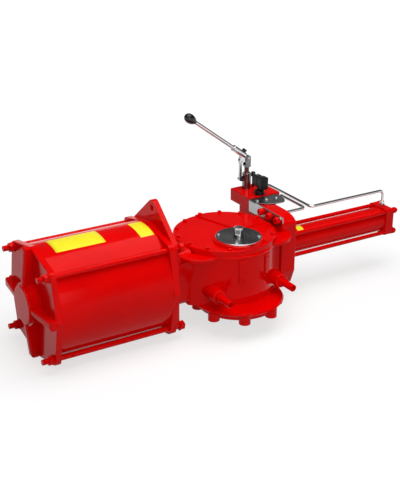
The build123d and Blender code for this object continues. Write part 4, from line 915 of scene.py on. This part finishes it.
class ACTUATOR_OT_bracket(Operator):
    """Bracket of bent sheet: a leg on the adapter's face and a shelf over the arch"""
    bl_idname = "actuator.bracket"
    bl_label = "Bracket"

    def execute(self, context):
        # leg P(u, v) = (inner face, front(z) + u (back - front(z)), low + v (top(y) - low)); its
        # top drops where the shelf's bend starts, and its front corner is cut back below
        u, v = np.meshgrid(np.linspace(0, 1, 97), np.linspace(0, 1, 25))
        y = LEG_FRONT + u * (BRACKET_BACK - LEG_FRONT)
        top = SHELF_TOP - BEND * np.clip((y - SHELF_START) / 2, 0, 1)
        z = LEG_LOW + v * (top - LEG_LOW)
        front = LEG_FRONT + np.clip(LEG_CUT - z, 0, None) * 1.5
        y = front + u * (BRACKET_BACK - front)
        leg = np.stack([np.full_like(y, LEG_X + SHEET), y, z], -1)
        sheet("bracket_leg", leg, (-1, 0, 0), SHEET, "brushed stainless sheet", 0.5,
              ["mounting_bracket"])
        # shelf P(s, v): along s it rounds the bend and runs level, and v crosses it from the
        # front edge f(x), which the shelf's round nose shapes, to the back
        turn = np.linspace(0, QUARTER, 7)
        run = np.linspace(LEG_X + BEND + 0.5, SHELF_TIP, 60)
        x = np.concatenate([LEG_X + BEND - (BEND - SHEET) * np.cos(turn), run])
        z = np.concatenate([SHELF_TOP - BEND + (BEND - SHEET) * np.sin(turn),
                            np.full(60, SHELF_TOP - SHEET)])
        length, sweep = SHELF_NOSE
        edge = np.interp(x, *np.transpose(SHELF_FRONT))
        edge = edge + sweep * quarter_round((x - (SHELF_TIP - length)) / length)
        back = BRACKET_BACK - SHELF_CORNER * quarter_round(
            (x - SHELF_TIP + SHELF_CORNER) / SHELF_CORNER)
        edge = np.minimum(edge, back - 2.0)
        y = edge[:, None] + np.linspace(0, 1, 25) * (back - edge)[:, None]
        shelf = np.stack([x[:, None] + 0 * y, y, z[:, None] + 0 * y], -1)
        sheet("bracket_shelf", shelf, (-1, 0, 1), SHEET, "brushed stainless sheet", 0.5)
        return {"FINISHED"}


class ACTUATOR_OT_coil(Operator):
    """Selector's coil with its plug, on a domed nut"""
    bl_idname = "actuator.coil"
    bl_label = "Coil"

    def execute(self, context):
        nut = turned([(0, 259.9), (16.4, 259.9), (17, 260.5), (17, 270.5), (16.6, 273),
                      (15.2, 275.2), (12.5, 276.6), (9, 277), (8.6, 277.4), (8.6, 284),
                      (0, 284)], 64)
        surface("coil_dome_nut", nut, [(COIL_X - 2, COIL_Y, 0)], (0, 0, 1),
                "glass-filled nylon", replaces=["coil_collar"])
        # name, y, half size along y and x, low, high, corner, and the node it stands for
        parts = (("coil_body", 212.0, 14.0, 13.5, 283.0, 324.0, 3.0, ["coil_housing"]),
                 ("coil_plug", 242.4, 15.6, 12.4, 287.0, 321.5, 2.5, []),
                 ("coil_seam", 227.0, 4.0, 11.0, 290.0, 319.0, 1.0, []))
        for name, y, half_y, half_x, low, high, corner, replaced in parts:
            # turned so that the block's own x lies across the coil
            surface(name, block(half_y, half_x, low, high, corner, 1.2), [(COIL_X, y, 0)],
                    (0, 0, 1), "glass-filled nylon", replaces=replaced)
        surface("coil_screw", socket_screw(3.4, 2.0, 2.6, 1.6, 2.0, 0.7),
                [(COIL_X, 247.0, 321.5)], (0, 0, 1), "zinc plate")
        return {"FINISHED"}


class ACTUATOR_OT_top_plate(Operator):
    """Stainless plate round the stub, with a chamfered rim"""
    bl_idname = "actuator.top_plate"
    bl_label = "Top plate"

    def execute(self, context):
        profile = [(PLATE_BORE_R, PLATE_LOW), (PLATE_BORE_R, PLATE_TOP - 0.4),
                   (PLATE_BORE_R + 0.4, PLATE_TOP), (PLATE_FACE_R, PLATE_TOP),
                   (PLATE_R, PLATE_TOP - 1.0), (PLATE_R, PLATE_LOW)]
        surface("stem_plate", turned(profile, 120), [(0, 0, 0)], (0, 0, 1),
                "faced stainless steel", replaces=["top_plate"], loop=True)
        return {"FINISHED"}


class ACTUATOR_OT_port_plugs(Operator):
    """Plugs of the manifold, with hexagonal sockets"""
    bl_idname = "actuator.port_plugs"
    bl_label = "Port plugs"

    def execute(self, context):
        hexagon = hexagon_radius(9.0, ring_angles())
        rows = [(11.4, 0.0), (11.4, 13.4), (10.9, 15.0), (9.6, 16.0), (6.2, 16.0),
                (hexagon, 15.4), (hexagon, 7.0)]
        surface("socket_plugs", capped(stack(rows), 0.0, 6.0),
                [(LEG_X, y, PLUGS_Z) for y in PLUGS_Y], (-1, 0, 0), "enamel on steel",
                replaces=["manifold_plugs"])
        return {"FINISHED"}


class ACTUATOR_OT_tube_fittings(Operator):
    """Hexagon bodies and round nuts of the tubes' fittings"""
    bl_idname = "actuator.tube_fittings"
    bl_label = "Tube fittings"

    def execute(self, context):
        # each fitting lies along its longest side and ends at its high end
        places, ways = [], []
        for low, high in part_boxes("tube_fittings"):
            axis = int(np.argmax(high - low))
            middle = (low + high) / 2
            middle[axis] = high[axis] - FITTING
            places.append(middle)
            ways.append(np.eye(3)[axis])
        rows = hex_rows(FITTING_NUT, 0.0, 8.0)
        rows += [(6.4, 8.1), (6.4, 9.2), (8.0, 9.6), (8.0, 17.0), (7.4, 18.2), (6.2, 19.4),
                 (5.4, FITTING), (PIPE_R, FITTING), (PIPE_R, 0.0)]
        surface("compression_fittings", stack(rows), places, ways, "bright drawn tube",
                replaces=["tube_fittings"], loop=True)
        return {"FINISHED"}


LABELS = (
    # name, x centre, length along the axis, angle above the front, width round the tube, radius
    ("main_label", -501.0, 158.0, 86.0, 82.0, CYLINDER_R),
    ("end_label", -291.0, 46.0, 83.0, 92.0, CYLINDER_R),
    ("override_label", 309.0, 24.0, 76.0, 32.0, OVER_TUBE_R),
)


class ACTUATOR_OT_labels(Operator):
    """Plain vinyl labels on the two cylinders"""
    bl_idname = "actuator.labels"
    bl_label = "Labels"

    def execute(self, context):
        for label in LABELS:
            self.label(context.scene.actuator_labels, *label)
        return {"FINISHED"}

    def label(self, sizes, name, x, length, angle, width, radius):
        """Patch P(u, v) = (x + u l(v), y - R cos a, z + R sin a) with a = a0 + v/R.

        l(v) is the half length, which follows the corner's circle near the two long edges.
        """
        corner = sizes.corner / MM
        v = corner_steps(width / 2, corner)
        reach = corner_reach(v, width / 2, length / 2, corner)
        u = np.linspace(-1, 1, 12)
        start = math.radians(angle)
        a = start + v / radius
        r = radius + 0.02
        grid = np.stack([x + reach[:, None] * u, (CYLINDER_Y - r * np.cos(a))[:, None] + 0 * u,
                         (CYLINDER_Z + r * np.sin(a))[:, None] + 0 * u], -1)
        sheet(name, grid, (0, -math.cos(start), math.sin(start)), sizes.film / MM,
              "yellow label vinyl")


# metres and degrees
CAMERA_PLACE = (-1.61555, -2.47468, 1.47436)
CAMERA_TURN = (67.0538, -0.0953, -30.7849)
# floor in metres, its glow from near to far, and the sky's from the horizon to overhead
FLOOR_HALF = 30.0
FLOOR_GAP = 0.0004
SWEEP_REACH = (0.7, 2.2)
SWEEP_GLOW = (0.66, 0.97)
SKY_RISE = (0.02, 0.25)
SKY_GLOW = (1.0, 0.12)

LAMPS = (
    # name, place, target, size in metres, and the setting that holds its power
    ("top lamp", (0.1, -0.2, 2.4), (0.0, 0.1, 0.1), (2.6, 2.0), "top_light"),
    ("front lamp", (-0.4, -2.6, 1.2), (0.0, 0.1, 0.15), (1.8, 1.2), "front_light"),
    ("side lamp", (-2.2, -1.7, 0.9), (-0.1, 0.0, 0.15), (1.4, 1.4), "side_light"),
)


class ACTUATOR_OT_stage(Operator):
    """Floor, world, lamps and camera"""
    bl_idname = "actuator.stage"
    bl_label = "Stage"

    def execute(self, context):
        sizes = context.scene.actuator_stage
        self.floor()
        self.world(context)
        for name, place, target, size, power in LAMPS:
            self.lamp(name, place, target, size, getattr(sizes, power))
        self.camera(context, sizes)
        context.scene.view_settings.view_transform = "Standard"
        return {"FINISHED"}

    def floor(self):
        """A wide white floor that keeps the shadow, and shows white to lens and gloss alike."""
        level = float(CAD_BOX[0][2]) - FLOOR_GAP
        corners = [(x * FLOOR_HALF, y * FLOOR_HALF, level)
                   for x, y in ((-1, -1), (1, -1), (1, 1), (-1, 1))]
        mesh = bpy.data.meshes.new("floor")
        mesh.from_pydata(corners, [], [(0, 1, 2, 3)])
        floor = linked(bpy.data.objects.new("floor", mesh))
        paper = bpy.data.materials.new("white paper sweep")
        mesh.materials.append(paper)
        tree = empty_tree(paper)
        matt = node(tree, "BsdfDiffuse", inputs={"Color": linear("A0A0A0")})
        path = node(tree, "LightPath")
        seen = (path, "Is Camera Ray")
        for ray in ("Is Glossy Ray", "Is Transmission Ray"):
            seen = (node(tree, "Math", settings={"operation": "MAXIMUM"},
                         links={0: seen, 1: (path, ray)}), "Value")
        # the sweep glows more away from the object, where the lamps reach it less
        where = node(tree, "TexCoord")
        away = node(tree, "VectorMath", settings={"operation": "LENGTH"},
                    links={0: (where, "Object")})
        sweep = remap(tree, (away, "Value"), SWEEP_REACH, SWEEP_GLOW)
        level = node(tree, "Math", settings={"operation": "MULTIPLY"},
                     links={0: seen, 1: (sweep, "Result")})
        glow = node(tree, "Emission", inputs={"Color": (1, 1, 1, 1)},
                    links={"Strength": (level, "Value")})
        both = node(tree, "AddShader", links={0: (matt, "BSDF"), 1: (glow, "Emission")})
        node(tree, "OutputMaterial", links={"Surface": (both, "Shader")})

    def world(self, context):
        """Soft room light: white at the horizon, greyer overhead between the lamps."""
        world = bpy.data.worlds.new("studio")
        context.scene.world = world
        tree = empty_tree(world)
        where = node(tree, "TexCoord")
        apart = node(tree, "SeparateXYZ", links={"Vector": (where, "Generated")})
        rise = remap(tree, (apart, "Z"), SKY_RISE, SKY_GLOW)
        path = node(tree, "LightPath")
        level = node(tree, "MixRGB", inputs={1: (0.3, 0.3, 0.3, 1)},
                     links={0: (path, "Is Camera Ray"), 2: (rise, "Result")})
        for ray in ("Is Glossy Ray", "Is Transmission Ray"):
            level = node(tree, "MixRGB", links={
                0: (path, ray), 1: (level, "Color"), 2: (rise, "Result")})
        room = node(tree, "Background", inputs={"Strength": 1.0}, links={"Color": (level, "Color")})
        node(tree, "OutputWorld", links={"Surface": (room, "Background")})

    def lamp(self, name, place, target, size, power):
        """Rectangular soft box turned to its target."""
        data = bpy.data.lights.new(name, "AREA")
        data.shape = "RECTANGLE"
        data.size, data.size_y = size
        data.energy = power
        lamp = linked(bpy.data.objects.new(name, data))
        lamp.location = place
        lamp.rotation_euler = (Vector(target) - Vector(place)).to_track_quat("-Z", "Y").to_euler()

    def camera(self, context, sizes):
        """Three-quarter view from the front left and above."""
        data = bpy.data.cameras.new("camera")
        data.lens = sizes.lens
        data.sensor_width = 36.0
        data.sensor_fit = "AUTO"
        data.clip_end = 100.0
        camera = linked(bpy.data.objects.new("camera", data))
        camera.location = CAMERA_PLACE
        camera.rotation_euler = np.radians(CAMERA_TURN).tolist()
        context.scene.camera = camera


PIECES = (
    ACTUATOR_OT_finishes, ACTUATOR_OT_stud_nuts, ACTUATOR_OT_cover_screws,
    ACTUATOR_OT_top_plate, ACTUATOR_OT_bracket, ACTUATOR_OT_coil,
    ACTUATOR_OT_socket_screws, ACTUATOR_OT_stub, ACTUATOR_OT_strip_screws,
    ACTUATOR_OT_override_nuts, ACTUATOR_OT_tube_fittings,
    ACTUATOR_OT_stop_sleeves, ACTUATOR_OT_lever_grip, ACTUATOR_OT_selector_knob,
    ACTUATOR_OT_port_plugs, ACTUATOR_OT_labels, ACTUATOR_OT_stage,
)


class ACTUATOR_PT_panel(Panel):
    """Lists the actuator's pieces and their sizes."""
    bl_idname = "ACTUATOR_PT_panel"
    bl_label = "Valve actuator"
    bl_space_type = "VIEW_3D"
    bl_region_type = "UI"
    bl_category = "Actuator"

    def draw(self, context):
        for group in GROUPS:
            box = self.layout.box()
            settings = getattr(context.scene, group)
            for key in settings.bl_rna.properties.keys():
                if key not in ("name", "rna_type"):
                    box.prop(settings, key)
        for piece in PIECES:
            self.layout.operator(piece.bl_idname)


GROUPS = {
    "actuator_paint": ActuatorPaint,
    "actuator_fasteners": ActuatorFasteners,
    "actuator_labels": ActuatorLabels,
    "actuator_stage": ActuatorStage,
}


def register():
    for name, group in GROUPS.items():
        bpy.utils.register_class(group)
        setattr(bpy.types.Scene, name, PointerProperty(type=group))
    for piece in (*PIECES, ACTUATOR_PT_panel):
        bpy.utils.register_class(piece)


def unregister():
    for piece in (ACTUATOR_PT_panel, *reversed(PIECES)):
        bpy.utils.unregister_class(piece)
    for name, group in GROUPS.items():
        delattr(bpy.types.Scene, name)
        bpy.utils.unregister_class(group)


def main():
    register()
    for piece in PIECES:
        group, name = piece.bl_idname.split(".")
        getattr(getattr(bpy.ops, group), name)()


if __name__ == "__main__":
    main()
